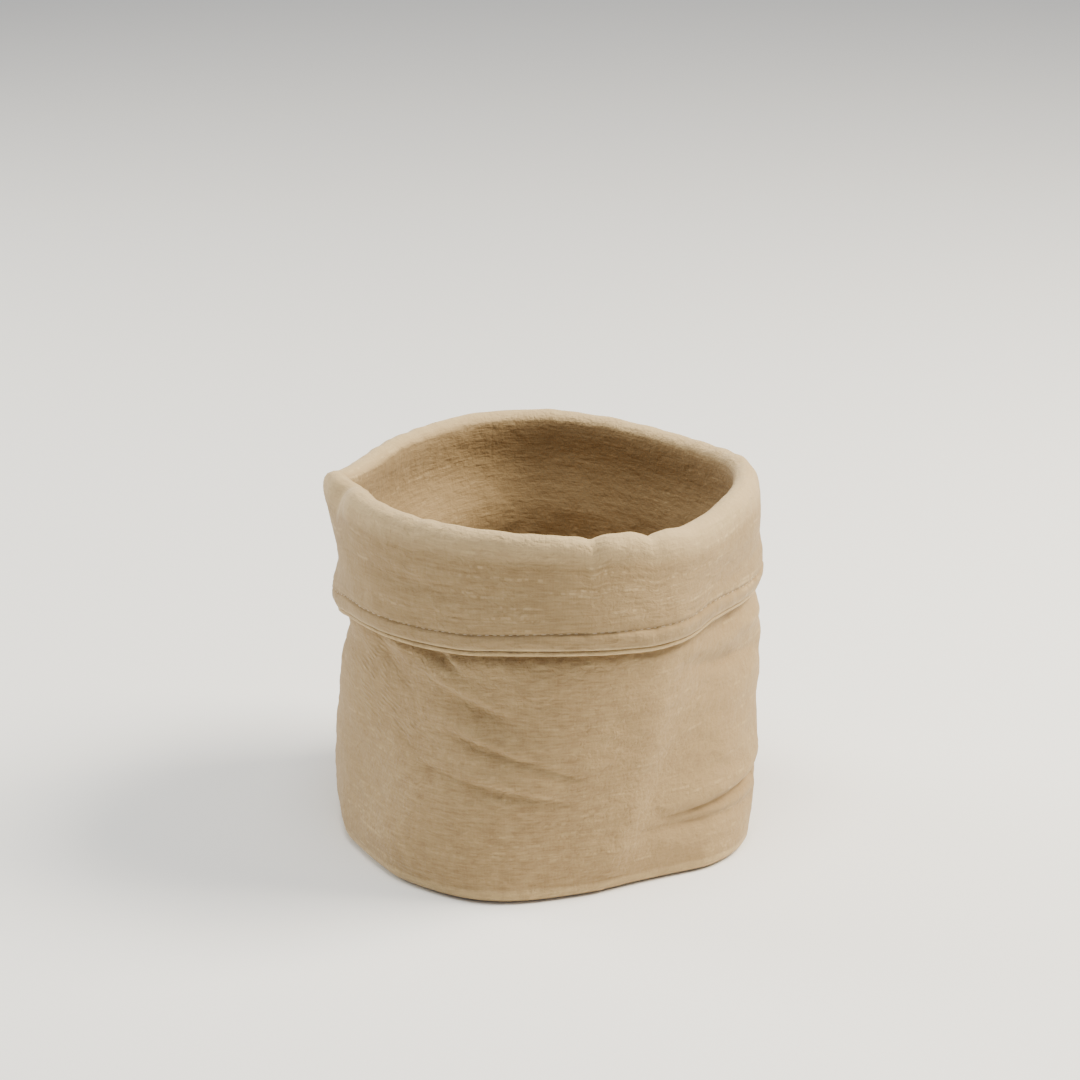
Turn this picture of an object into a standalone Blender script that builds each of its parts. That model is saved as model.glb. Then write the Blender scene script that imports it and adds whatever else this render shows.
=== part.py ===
"""A linen bread bag that stands open, with its top turned down outside as a deep cuff.

Two cloths make the bag. The outer bag is the cloth that rests on the table, and it runs up the
wall, over the rim and down inside the cuff to a small rolled lip. The lining is the cloth inside,
and it runs up the wall, over the rim and down the face of the cuff to a stitched hem band. Each
cloth is one open surface, lofted through rings that go round the bag, and Solidify gives it its
thickness.

Sizes in the tables are in millimetres and degrees. An angle goes round the upright axis from +X
towards +Y. The front panel faces -Y, and the boxed side with the side seam faces +X.
"""
import math
from collections import namedtuple

import bmesh
import bpy
import numpy as np

MILLIMETRE = 0.001

# The cloths
CLOTH = 1.2                 # thickness of either cloth
PLY_GAP = 0.75               # air between two cloths that lie together
PLY = CLOTH + PLY_GAP

# The foot of the bag
EDGE_RADIUS = 6.0           # roundness of the outer bag where base and wall meet
BASE_RINGS = (0.6, 1.0)
EDGE_STEPS = 3

# The wall
OUTER_ROWS = 17             # rows of faces up the outer bag's wall, as far as the hidden part
LINING_ROWS = 5             # rows of faces up the lining's wall, as far as the hidden part
HIDDEN_ROWS = 3             # rows of either cloth behind the cuff
HIDDEN_START = 3.0          # where those begin, above the cuff's lowest edge
LINING_SLACK = 4.4          # how far the lining hangs inside the outer bag, low down
SLACK_TOP = 158.0           # height above which the two cloths lie together
SLACK_FULL = 128.0          # height below which the slack is whole
DEEPEST_TROUGH = 3.7        # how far a fold of the wall may reach in towards the lining
FOLD_FADE = 9.0             # over how far above the cuff's lowest edge the wall's folds end
CUFF_ROOM = 0.3             # how far a fold of the wall may reach out behind the cuff
ROOM_GAIN = 14.0            # how much more it may below the cuff
ROOM_LOW = 14.0             # how far below the cuff's lowest edge that is whole
ROOM_HIGH = 6.0             # and how far below that edge it starts
LEAN_IN = 2.6               # how far the wall leans in just under the rim
LEAN_HEIGHT = 20.0          # how far below the rim the lean starts

# The rim and the cuff
ROLL_SPACE = 4.5            # clear space inside the rolled rim
ROLL_STEPS = 5
SHOULDER = 9.5              # how much longer the rolled rim curves down on its outer side
NOTCH_SHARE = 0.55          # how far the rim's top follows its notches
CUFF_CLEAR_HEM = 1.0        # cuff to wall, at the hem
CUFF_ROWS = 3               # rows of faces between the rim and the hem band

# The space between the wall and the cuff, by how far down from the rim to the hem
Space = namedtuple("Space", "down clear")
CUFF_SPACES = (
    Space(0.0, ROLL_SPACE),
    Space(0.45, 2.6),
    Space(0.8, 2.0),
    Space(1.0, CUFF_CLEAR_HEM),
)

# The hem band, measured up from the cuff's lowest edge
LIP_HEIGHT = 2.7            # rolled edge of the outer bag that shows below the lining
LIP_STEPS = 3
LINING_EDGE = LIP_HEIGHT + PLY_GAP
BAND_MIDDLE = 7.0
GROOVE_HALF = 1.5           # half the width of the topstitched groove
GROOVE_DEPTH = 0.8
BAND_CROWN = 0.5            # how far the band stands out between its lines

# Where the faces go round the bag: short steps over the creased panels, longer ones behind
Span = namedtuple("Span", "start end steps")
SPANS = (
    Span(-135.0, -115.0, 2),
    Span(-115.0, -80.0, 7),
    Span(-80.0, -15.0, 16),
    Span(-15.0, 5.0, 4),
    Span(5.0, 75.0, 12),
    Span(75.0, 225.0, 12),
)

# Soft square sections of the outer bag's outer face. The reach is from the middle to a side, the
# stretch is added along the long way and taken off across it.
LONG_WAY = 60.0
Section = namedtuple("Section", "height reach squareness turn stretch shift_x shift_y")
SECTIONS = (
    Section(0.0, 93.5, 3.4, 0.0, 0.0, 0.0, -1.0),
    Section(12.0, 95.0, 3.3, 0.0, 0.0, 0.0, -1.0),
    Section(30.0, 96.0, 3.1, 2.0, 0.5, 0.0, 0.0),
    Section(55.0, 96.0, 2.9, 8.0, 1.0, 0.2, 0.6),
    Section(90.0, 96.0, 2.6, 20.0, 1.0, 0.6, 1.4),
    Section(115.0, 96.0, 2.5, 28.0, 0.5, 0.8, 1.6),
    Section(140.0, 96.0, 2.4, 32.0, 0.5, 0.6, 1.4),
    Section(190.0, 95.0, 2.4, 34.0, 0.0, 0.0, 0.0),
)

# The height of the rim's top and of the cuff's lowest edge going round, and how far above that edge
# the topstitched groove runs
Level = namedtuple("Level", "angle height")
RIM_LINE = (
    Level(-115.0, 187.0),
    Level(-110.0, 189.6),
    Level(-102.0, 186.6),
    Level(-92.0, 191.2),
    Level(-88.0, 191.0),
    Level(-60.0, 188.5),
    Level(-30.0, 189.5),
    Level(0.0, 188.5),
    Level(60.0, 186.5),
    Level(100.0, 182.5),
    Level(160.0, 187.0),
    Level(205.0, 185.5),
)
HEM_LINE = (
    Level(-115.0, 116.5),
    Level(-96.0, 122.5),
    Level(-80.0, 123.4),
    Level(-66.0, 123.2),
    Level(-54.0, 124.5),
    Level(-22.0, 129.8),
    Level(-4.0, 128.8),
    Level(8.0, 127.4),
    Level(17.0, 127.6),
    Level(28.0, 130.8),
    Level(54.0, 129.4),
    Level(66.0, 129.4),
    Level(115.0, 121.5),
    Level(165.0, 124.5),
    Level(215.0, 119.5),
)
GROOVE_RISE = (
    Level(-115.0, 11.1),
    Level(-42.0, 11.1),
    Level(-4.0, 12.2),
    Level(18.0, 12.0),
    Level(34.0, 10.6),
    Level(62.0, 9.8),
    Level(160.0, 11.1),
)

# Folds of the cloth, each along a bent line through a start, a middle and an end, given as (angle,
# height). The lifts are how far the cloth stands out there, and they are negative in a trough. The
# lift fades away from the line, over a distance above it and another one under it.
FOLD_RADIUS = 96.0          # turns an angle into a length along the cloth
FOLD_PIECES = 8             # straight pieces that a bent line is measured in
NARROWEST_FOLD = 4.0        # no fold fades faster than the faces can show
Fold = namedtuple("Fold", "start middle end lifts over under")

# Folds that both cloths share, from the foot to the rim
FORM_FOLDS = (
    # the front panel, which a loaf has pushed out above the foot
    Fold((-96.0, 6.0), (-85.0, 7.0), (-74.0, 8.0), (8.2, 8.0, 7.2), 25.0, 25.0),
    Fold((-94.0, 34.0), (-84.0, 39.0), (-74.0, 44.0), (3.0, 3.5, 4.0), 30.0, 30.0),
    Fold((-24.0, 4.0), (-8.0, 4.0), (8.0, 4.0), (1.0, 1.4, 1.8), 20.0, 20.0),
    Fold((28.0, 2.0), (35.0, 2.0), (42.0, 2.0), (2.6, 1.7, 0.8), 14.0, 14.0),
    Fold((50.0, 4.0), (60.0, 7.0), (70.0, 9.0), (-1.0, -1.8, -1.2), 14.0, 14.0),
    Fold((54.0, 46.0), (64.0, 40.0), (74.0, 36.0), (-1.4, -1.9, -1.6), 24.0, 24.0),
    # right side of the rim, and left side of the hem
    Fold((56.0, 188.0), (65.0, 186.0), (74.0, 184.0), (-1.0, -1.8, -1.0), 13.0, 16.0),
    Fold((-126.0, 128.0), (-115.0, 128.0), (-104.0, 128.0), (1.4, 1.8, 1.2), 12.0, 9.0),
    # rim corner on the left, and the hollow beside it
    Fold((-115.0, 190.0), (-114.5, 171.0), (-114.0, 152.0), (5.4, 2.6, 0.0), 14.0, 14.0),
    Fold((-96.0, 192.0), (-97.0, 179.0), (-98.0, 166.0), (-3.5, -1.8, 0.0), 11.0, 11.0),
    Fold((-102.5, 200.0), (-102.0, 183.0), (-103.0, 162.0), (-3.4, -2.4, 0.0), 8.0, 8.0),
    # left side, under the hem
    Fold((-130.0, 106.0), (-107.0, 110.0), (-84.0, 114.0), (-3.6, -2.5, -1.4), 11.0, 11.0),
    Fold((-120.0, 14.0), (-113.0, 24.0), (-106.0, 34.0), (1.4, 1.4, 1.4), 20.0, 20.0),
)

# Folds of the wall below the cuff
WALL_FOLDS = (
    # pinch under the hem, the loose edge beside it, and the ridges that run down from it
    Fold((-66.0, 121.0), (-59.0, 118.8), (-51.0, 115.0), (-2.2, -4.8, -0.8), 2.6, 2.4),
    Fold((-56.0, 123.0), (-53.5, 118.5), (-48.0, 114.8), (2.6, 2.0, 0.2), 3.0, 2.2),
    Fold((-48.0, 122.0), (-34.0, 119.0), (-20.0, 120.0), (0.8, 1.2, 0.4), 6.0, 9.0),
    Fold((-66.0, 112.5), (-56.5, 109.0), (-46.0, 102.5), (0.3, 1.5, 0.2), 3.4, 2.2),
    Fold((-60.0, 103.0), (-50.0, 99.0), (-39.0, 93.5), (-0.8, -3.6, -0.6), 3.0, 6.0),
    # slack of the front panel
    Fold((-61.0, 88.5), (-48.5, 84.0), (-33.0, 77.0), (0.3, 1.7, 0.6), 4.0, 2.0),
    Fold((-54.0, 83.0), (-42.0, 79.0), (-20.0, 67.0), (-0.9, -2.8, -1.4), 2.2, 5.2),
    Fold((-64.0, 61.5), (-44.0, 60.0), (-23.0, 54.0), (-0.5, -2.4, -1.3), 1.6, 4.4),
    Fold((-66.0, 66.5), (-46.0, 64.0), (-24.0, 59.0), (0.2, 1.0, 0.5), 4.2, 2.0),
    Fold((-62.0, 46.0), (-44.0, 44.0), (-24.0, 42.0), (0.5, 1.0, 0.8), 7.0, 8.0),
    # left of the pinch
    Fold((-86.0, 118.0), (-77.0, 112.0), (-66.0, 109.0), (-1.2, -2.0, -0.8), 6.0, 8.0),
    # boxed side, under the hem
    Fold((18.0, 118.0), (44.0, 117.0), (72.0, 115.0), (0.8, 2.2, 2.4), 6.0, 5.0),
    Fold((22.0, 108.5), (38.0, 105.0), (57.0, 100.0), (-0.9, -2.2, -1.0), 3.2, 4.0),
    Fold((58.0, 106.0), (67.0, 102.0), (80.0, 98.0), (1.2, 3.4, 2.4), 9.0, 8.0),
    Fold((34.0, 94.0), (56.0, 90.0), (78.0, 86.0), (0.6, 1.0, 0.2), 8.0, 9.0),
    # boxed side, above the foot
    Fold((9.0, 34.5), (24.0, 33.8), (48.0, 37.0), (-0.6, -3.2, -3.0), 2.4, 2.2),
    Fold((3.0, 29.0), (19.0, 28.6), (46.0, 26.5), (-0.6, -2.6, -2.0), 1.9, 4.4),
    Fold((12.0, 40.5), (30.0, 40.5), (54.0, 46.0), (0.6, 2.2, 1.6), 8.0, 3.0),
    # the side seam, which stands out a little down to the foot
    Fold((3.0, 112.0), (1.0, 66.0), (-8.0, 14.0), (0.8, 2.4, 2.2), 10.0, 10.0),
    Fold((-14.0, 100.0), (-15.0, 66.0), (-24.0, 18.0), (-0.4, -0.9, -1.3), 10.0, 10.0),
    Fold((-12.0, 12.0), (-6.0, 8.0), (1.0, 4.0), (-0.5, -1.2, -0.9), 2.4, 2.4),
    # back panel and far side
    Fold((98.0, 104.0), (120.0, 97.0), (142.0, 88.0), (-2.0, -2.6, -1.0), 3.6, 7.0),
    Fold((106.0, 92.0), (122.0, 85.0), (138.0, 78.0), (1.4, 2.0, 0.8), 7.0, 5.0),
    Fold((104.0, 60.0), (116.0, 56.0), (130.0, 58.0), (-0.8, -1.8, -0.6), 3.0, 6.0),
    Fold((160.0, 112.0), (173.0, 106.0), (186.0, 98.0), (-2.4, -2.2, -1.2), 3.6, 6.0),
    Fold((122.0, 46.0), (146.0, 50.0), (170.0, 60.0), (-1.6, -2.8, -1.4), 3.4, 8.0),
    Fold((176.0, 74.0), (196.0, 68.0), (214.0, 60.0), (-1.4, -2.6, -2.0), 3.6, 7.0),
    Fold((180.0, 34.0), (198.0, 38.0), (216.0, 46.0), (1.6, 1.8, 1.0), 7.0, 4.0),
    Fold((196.0, 100.0), (208.0, 96.0), (224.0, 97.0), (-0.8, -1.8, -1.2), 3.0, 6.0),
)

# Notches of the rim on both sides of the side seam, and the bulge between them
RIM_FOLDS = (
    Fold((-14.0, 196.0), (-13.5, 186.0), (-12.5, 176.0), (-2.2, -1.4, 0.0), 2.6, 2.6),
    Fold((-1.0, 196.0), (-1.5, 187.0), (-3.0, 179.0), (-2.0, -1.2, 0.0), 2.4, 2.4),
    Fold((-8.0, 194.0), (-8.0, 186.0), (-7.5, 178.0), (1.2, 0.9, 0.0), 4.5, 4.5),
)

# Folds of the cuff alone
CUFF_FOLDS = (
    # the rim pinched in beside its left corner
    Fold((-102.5, 197.0), (-102.0, 184.0), (-103.0, 168.0), (-1.2, -1.0, 0.0), 6.0, 6.0),
    Fold((-92.0, 196.0), (-91.5, 184.0), (-89.0, 168.0), (1.8, 1.2, 0.0), 7.0, 7.0),
    # the corner that the seam makes
    Fold((3.0, 178.0), (2.0, 156.0), (1.0, 134.0), (0.3, 1.0, 0.6), 11.0, 11.0),
    Fold((-18.0, 176.0), (-16.0, 156.0), (-14.0, 134.0), (-0.3, -0.6, -0.3), 9.0, 9.0),
    # long shallow ripples of the face
    Fold((-88.0, 170.0), (-66.0, 165.0), (-40.0, 166.0), (0.4, 0.9, 0.2), 4.0, 3.0),
    Fold((-92.0, 160.0), (-66.0, 157.0), (-34.0, 159.0), (-0.5, -0.9, -0.2), 3.0, 4.0),
    Fold((-84.0, 150.0), (-60.0, 147.5), (-30.0, 150.0), (0.3, 0.8, 0.3), 4.0, 3.0),
    Fold((10.0, 168.0), (34.0, 164.0), (58.0, 165.0), (0.3, 0.9, 0.5), 6.0, 5.0),
    Fold((22.0, 152.0), (44.0, 150.0), (70.0, 154.0), (-0.4, -1.0, -0.8), 5.0, 6.0),
    Fold((120.0, 160.0), (150.0, 156.0), (176.0, 160.0), (-0.6, -1.2, -0.4), 5.0, 6.0),
    Fold((190.0, 168.0), (206.0, 162.0), (226.0, 164.0), (0.6, 1.0, 0.4), 6.0, 5.0),
)

# Finishes
Finish = namedtuple("Finish", "name colour roughness")
OUTER_LINEN = Finish("outer_linen", (0.42, 0.31, 0.20, 1.0), 0.92)
LINING_LINEN = Finish("lining_linen", (0.46, 0.34, 0.22, 1.0), 0.92)


def smooth_through(places, values, place):
    """A smooth curve through a table's values, flat where the table turns back."""
    step = np.diff(places)
    slope = np.diff(values) / step
    tangent = np.zeros(len(places))
    tangent[1:-1] = (slope[:-1] * step[1:] + slope[1:] * step[:-1]) / (step[:-1] + step[1:])
    tangent[1:-1][slope[:-1] * slope[1:] <= 0.0] = 0.0
    tangent[0], tangent[-1] = slope[0], slope[-1]
    place = np.clip(place, places[0], places[-1])
    index = np.clip(np.searchsorted(places, place, side="right") - 1, 0, len(step) - 1)
    part = (place - places[index]) / step[index]
    rise = part * part * (3.0 - 2.0 * part)
    low = part * (1.0 - part) ** 2 * step[index] * tangent[index]
    high = part * part * (part - 1.0) * step[index] * tangent[index + 1]
    return values[index] * (1.0 - rise) + values[index + 1] * rise + low + high


def smooth_step(value, low, high):
    """From 0 at low to 1 at high, level at both ends."""
    part = np.clip((value - low) / (high - low), 0.0, 1.0)
    return part * part * (3.0 - 2.0 * part)


def section_value(name, height):
    """One column of the section table at any height."""
    heights = np.array([row.height for row in SECTIONS])
    values = np.array([getattr(row, name) for row in SECTIONS])
    return smooth_through(heights, values, height)


def level(line, angle):
    """The height of a line that goes round the bag, at any angle in degrees."""
    angles = np.array([row.angle for row in line])
    heights = np.array([row.height for row in line])
    angles = np.concatenate((angles - 360.0, angles, angles + 360.0))
    return smooth_through(angles, np.tile(heights, 3), angle)


def section_reach(angle, height):
    """How far the smooth section reaches from its middle."""
    turned = np.radians(angle - section_value("turn", height))
    power = section_value("squareness", height)
    round_it = (np.abs(np.cos(turned)) ** power + np.abs(np.sin(turned)) ** power) ** (-1.0 / power)
    stretch = section_value("stretch", height) * np.cos(2.0 * np.radians(angle - LONG_WAY))
    return section_value("reach", height) * round_it + stretch


def arc_length(angle, centre):
    """The length along the cloth from one angle to another, the shorter way round."""
    return np.radians((angle - centre + 180.0) % 360.0 - 180.0) * FOLD_RADIUS


def fold_path(fold):
    """The bent line of a fold as points along and up the cloth, measured from its middle angle."""
    ends = [np.array((arc_length(place[0], fold.middle[0]), place[1])) for place in fold[:3]]
    bend = 2.0 * ends[1] - (ends[0] + ends[2]) / 2.0
    path = []
    for step in range(FOLD_PIECES + 1):
        part = step / FOLD_PIECES
        path.append((1.0 - part) ** 2 * ends[0] + 2.0 * part * (1.0 - part) * bend + part**2 * ends[2])
    return path


def one_fold_lift(fold, angle, height):
    """How far one fold lifts the cloth."""
    along = arc_length(angle, fold.middle[0])
    path = fold_path(fold)
    nearest = np.full(np.broadcast(angle, height).shape, np.inf)
    share = np.zeros(nearest.shape)
    for index, (first, last) in enumerate(zip(path, path[1:])):
        run = last - first
        part = ((along - first[0]) * run[0] + (height - first[1]) * run[1]) / (run @ run)
        part = np.clip(part, 0.0, 1.0)
        across = along - first[0] - part * run[0]
        up = height - first[1] - part * run[1]
        above = up * run[0] - across * run[1] > 0.0
        fade = np.maximum(np.where(above, fold.over, fold.under), NARROWEST_FOLD)
        away = np.hypot(across, up) / fade
        closer = away < nearest
        share = np.where(closer, (index + part) / FOLD_PIECES, share)
        nearest = np.where(closer, away, nearest)
    return np.interp(share, (0.0, 0.5, 1.0), fold.lifts) * np.exp(-(nearest**2))


def fold_lift(folds, angle, height):
    """How far a table of folds lifts the cloth."""
    return sum(one_fold_lift(fold, angle, height) for fold in folds)


def ring_point(angle, height, reach):
    """Points in metres at an angle, a height and a distance from the section's middle."""
    x = section_value("shift_x", height) + reach * np.cos(np.radians(angle))
    y = section_value("shift_y", height) + reach * np.sin(np.radians(angle))
    return np.stack((x, y, height), axis=-1) * MILLIMETRE


def roll_height(angle):
    """The height of the middle of the rolled rim, below its top."""
    notches = fold_lift(RIM_FOLDS, angle, level(RIM_LINE, angle))
    return level(RIM_LINE, angle) + NOTCH_SHARE * notches - (ROLL_SPACE / 2.0 + PLY + CLOTH)


def inner_lift(angle, height):
    """Lift of the folds that both cloths share, on the wall, which leans in just under the rim."""
    lean = LEAN_IN * smooth_step(height - roll_height(angle), -LEAN_HEIGHT, 0.0)
    return fold_lift(FORM_FOLDS, angle, height) - lean


def wall_lift(angle, height):
    """Lift of the outer bag's wall, with the folds below the cuff."""
    above = height - level(HEM_LINE, angle)
    inner = inner_lift(angle, height)
    folds = fold_lift(WALL_FOLDS, angle, height) * (1.0 - smooth_step(above, 0.0, FOLD_FADE))
    room = CUFF_ROOM + ROOM_GAIN * (1.0 - smooth_step(above, -ROOM_LOW, -ROOM_HIGH))
    deepest = np.minimum(-DEEPEST_TROUGH - inner, 0.0)
    return inner + np.clip(folds, deepest, room)


def cuff_lift(angle, height):
    """Lift of the cuff, with its own folds and the notches of its rim."""
    return fold_lift(FORM_FOLDS + RIM_FOLDS + CUFF_FOLDS, angle, height)


def slant(angle, reach):
    """How much longer a layer is, measured from the middle, where the ring runs at a slant."""
    turn = np.radians((np.roll(angle, -1) - angle) % 360.0)
    steep = np.abs(np.roll(reach, -1) - reach) / (turn * reach)
    return np.sqrt(1.0 + np.maximum(steep, np.roll(steep, 1)) ** 2)


def wall_point(angle, height, lift, outward):
    """Points at a lift from the smooth section, and outward millimetres off that."""
    reach = section_reach(angle, height) + lift
    return ring_point(angle, height, reach + outward * slant(angle, reach))


def ring_angles():
    """The angles of the faces round the bag, close together where the cloth is creased."""
    spans = [np.linspace(span.start, span.end, span.steps, endpoint=False) for span in SPANS]
    return np.concatenate(spans)


def foot_rings(angle, layer):
    """The flat base and its rounded edge, layer millimetres in from the outer bag's face."""
    edge_height = np.full(angle.shape, EDGE_RADIUS)
    lift = fold_lift(FORM_FOLDS, angle, edge_height)
    edge_reach = section_reach(angle, edge_height) + lift - EDGE_RADIUS
    radius = EDGE_RADIUS - layer
    rings = []
    for part in BASE_RINGS:
        flat = ring_point(angle, edge_height, part * edge_reach)
        flat[:, 2] = layer * MILLIMETRE
        rings.append(flat)
    for step in range(1, EDGE_STEPS + 1):
        bend = math.radians(90.0 * step / EDGE_STEPS)
        curved = ring_point(angle, edge_height, edge_reach + radius * math.sin(bend))
        curved[:, 2] = (EDGE_RADIUS - radius * math.cos(bend)) * MILLIMETRE
        rings.append(curved)
    return rings


def wall_heights(angle, rows):
    """Heights of the wall's rings: rows of them up to the hidden part, and those behind the cuff."""
    hidden = level(HEM_LINE, angle) + HIDDEN_START
    top = roll_height(angle)
    low = [EDGE_RADIUS + (hidden - EDGE_RADIUS) * row / rows for row in range(1, rows + 1)]
    high = [hidden + (top - hidden) * row / HIDDEN_ROWS for row in range(1, HIDDEN_ROWS + 1)]
    return low + high


def cuff_clearance(angle, height):
    """The space between the wall and the cuff."""
    top = roll_height(angle)
    down = (top - height) / (top - level(HEM_LINE, angle))
    places = np.array([row.down for row in CUFF_SPACES])
    spaces = np.array([row.clear for row in CUFF_SPACES])
    return smooth_through(places, spaces, down)


def cuff_reach(angle, height, layer):
    """How far a cloth's middle surface reaches on the face of the cuff."""
    reach = section_reach(angle, height) + cuff_lift(angle, height) + cuff_clearance(angle, height)
    return reach + layer * slant(angle, reach)


def roll_rings(angle, layer):
    """The rim, rolled outwards over its clear space and down on to the cuff.

    The clear space is half an oval inside and half a longer one outside, and the cloth lies a layer
    off it all round.
    """
    middle = roll_height(angle)
    inner = section_reach(angle, middle) + inner_lift(angle, middle)
    crest = (inner + cuff_reach(angle, middle, 0.0)) / 2.0
    rings = []
    for step in range(1, ROLL_STEPS + 1):
        bend = math.radians(180.0 * step / ROLL_STEPS)
        outside = bend > math.pi / 2.0
        foot = middle - SHOULDER if outside else middle
        tall = ROLL_SPACE / 2.0 + middle - foot
        height = foot + (middle - foot) * math.sin(bend)
        wide = cuff_reach(angle, height, 0.0) - crest if outside else crest - inner
        across, up = -math.cos(bend) / wide, math.sin(bend) / tall
        off = layer / np.hypot(across, up)
        reach = crest - wide * math.cos(bend)
        curved = ring_point(angle, height, reach + off * across * slant(angle, reach))
        curved[:, 2] = (foot + tall * math.sin(bend) + off * up) * MILLIMETRE
        rings.append(curved)
    return rings


def cuff_rings(angle, layer):
    """The turned-down cuff as far as the lining's edge, with its groove and hem band."""
    start = roll_height(angle) - SHOULDER
    hem = level(HEM_LINE, angle)
    groove = hem + level(GROOVE_RISE, angle)
    rows = []
    for step in range(1, CUFF_ROWS + 1):
        part = step / (CUFF_ROWS + 1)
        rows.append((start + part * (groove + GROOVE_HALF - start), 0.0))
    rows.append((groove + GROOVE_HALF, 0.0))
    rows.append((groove, -GROOVE_DEPTH))
    rows.append((groove - GROOVE_HALF, BAND_CROWN / 2.0))
    rows.append((hem + BAND_MIDDLE, BAND_CROWN))
    rows.append((hem + LINING_EDGE, 0.0))
    rings = []
    for height, relief in rows:
        rings.append(ring_point(angle, height, cuff_reach(angle, height, layer) + relief))
    return rings


def lip_rings(angle):
    """The outer bag's edge, rolled out from behind the lining's edge and up to it."""
    hem = level(HEM_LINE, angle)
    radius = PLY / 2.0
    bend_height = hem + radius + CLOTH / 2.0
    out = CUFF_CLEAR_HEM + CLOTH / 2.0 + radius
    lift = cuff_lift(angle, bend_height)
    rings = []
    for step in range(LIP_STEPS + 1):
        bend = math.radians(180.0 * step / LIP_STEPS)
        curved = wall_point(angle, bend_height, lift, out - radius * math.cos(bend))
        curved[:, 2] -= radius * math.sin(bend) * MILLIMETRE
        rings.append(curved)
    top = hem + LIP_HEIGHT
    rings.append(wall_point(angle, top, cuff_lift(angle, top), out + radius))
    return rings


def outer_rings():
    """The outer bag's middle surface, from the base to the lip."""
    angle = ring_angles()
    layer = CLOTH / 2.0
    rings = foot_rings(angle, layer)
    for height in wall_heights(angle, OUTER_ROWS):
        rings.append(wall_point(angle, height, wall_lift(angle, height), -layer))
    rings += roll_rings(angle, layer)
    rings += cuff_rings(angle, layer)
    rings += lip_rings(angle)
    return rings


def lining_rings():
    """The lining's middle surface, from its base to its edge on the cuff."""
    angle = ring_angles()
    layer = PLY + CLOTH / 2.0
    rings = foot_rings(angle, layer)
    for height in wall_heights(angle, LINING_ROWS):
        together = smooth_step(height, SLACK_FULL, SLACK_TOP)
        inward = layer + LINING_SLACK * (1.0 - together)
        rings.append(wall_point(angle, height, inner_lift(angle, height) * together, -inward))
    rings += roll_rings(angle, layer)
    rings += cuff_rings(angle, layer)
    return rings


def loft(name, rings):
    """An open surface through closed rings, closed by a fan over the first one.

    Each cloth is split the same way across a face, so that they stay apart where they lie close.
    """
    surface = bmesh.new()
    middle = surface.verts.new(np.mean(rings[0], axis=0))
    loops = [[surface.verts.new(point) for point in ring] for ring in rings]
    count = len(loops[0])
    for index in range(count):
        following = (index + 1) % count
        surface.faces.new((middle, loops[0][following], loops[0][index]))
        for low, high in zip(loops, loops[1:]):
            surface.faces.new((low[index], low[following], high[following]))
            surface.faces.new((low[index], high[following], high[index]))
    surface.normal_update()
    mesh = bpy.data.meshes.new(name)
    surface.to_mesh(mesh)
    surface.free()
    mesh.shade_smooth()
    return mesh


def linen(finish):
    """A plain linen material."""
    material = bpy.data.materials.new(finish.name)
    material.use_nodes = True
    shader = material.node_tree.nodes["Principled BSDF"]
    shader.inputs["Base Color"].default_value = finish.colour
    shader.inputs["Roughness"].default_value = finish.roughness
    shader.inputs["Metallic"].default_value = 0.0
    return material


def add_cloth(name, rings, finish, collection):
    """One cloth of the bag: its lofted middle surface, thickened evenly to both sides."""
    cloth = bpy.data.objects.new(name, loft(name, rings))
    cloth.data.materials.append(linen(finish))
    collection.objects.link(cloth)
    thicken = cloth.modifiers.new("Cloth thickness", "SOLIDIFY")
    thicken.thickness = CLOTH * MILLIMETRE
    thicken.offset = 0.0
    thicken.use_even_offset = True
    return cloth


def stand_on_origin(cloths):
    """Move the meshes so that the whole bag's box stands on the origin."""
    bpy.context.view_layer.update()
    graph = bpy.context.evaluated_depsgraph_get()
    corners = []
    for cloth in cloths:
        corners += [tuple(corner) for corner in cloth.evaluated_get(graph).bound_box]
    corners = np.array(corners)
    low, high = corners.min(axis=0), corners.max(axis=0)
    for cloth in cloths:
        for vertex in cloth.data.vertices:
            vertex.co.x -= (low[0] + high[0]) / 2.0
            vertex.co.y -= (low[1] + high[1]) / 2.0
            vertex.co.z -= low[2]


def main():
    """Build the bag in an empty scene."""
    for old in list(bpy.data.objects):
        bpy.data.objects.remove(old)
    collection = bpy.data.collections.new("linen_bread_bag")
    bpy.context.scene.collection.children.link(collection)
    cloths = (
        add_cloth("outer_bag", outer_rings(), OUTER_LINEN, collection),
        add_cloth("lining", lining_rings(), LINING_LINEN, collection),
    )
    stand_on_origin(cloths)


main()
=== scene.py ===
"""Looks of the linen bread bag: its two soft cloths, their stitching, the light and the camera.

The bag is made of two cloths. The outer bag is the cloth that stands on the table, runs up the
wall, over the rim and down inside the cuff, and ends in a rolled lip. The lining is the cloth
inside, which runs up the wall, over the rim and down the face of the cuff to a stitched hem band.

Tables hold millimetres and degrees. An angle goes round the upright axis from +X towards +Y. The
front panel faces -Y, and the boxed side with the side seam faces +X. Finished meshes hold metres.
"""
from __future__ import annotations

import logging
import math
from dataclasses import dataclass, field, replace
from enum import Enum

import bpy
import numpy as np
from mathutils import Matrix, Vector

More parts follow.
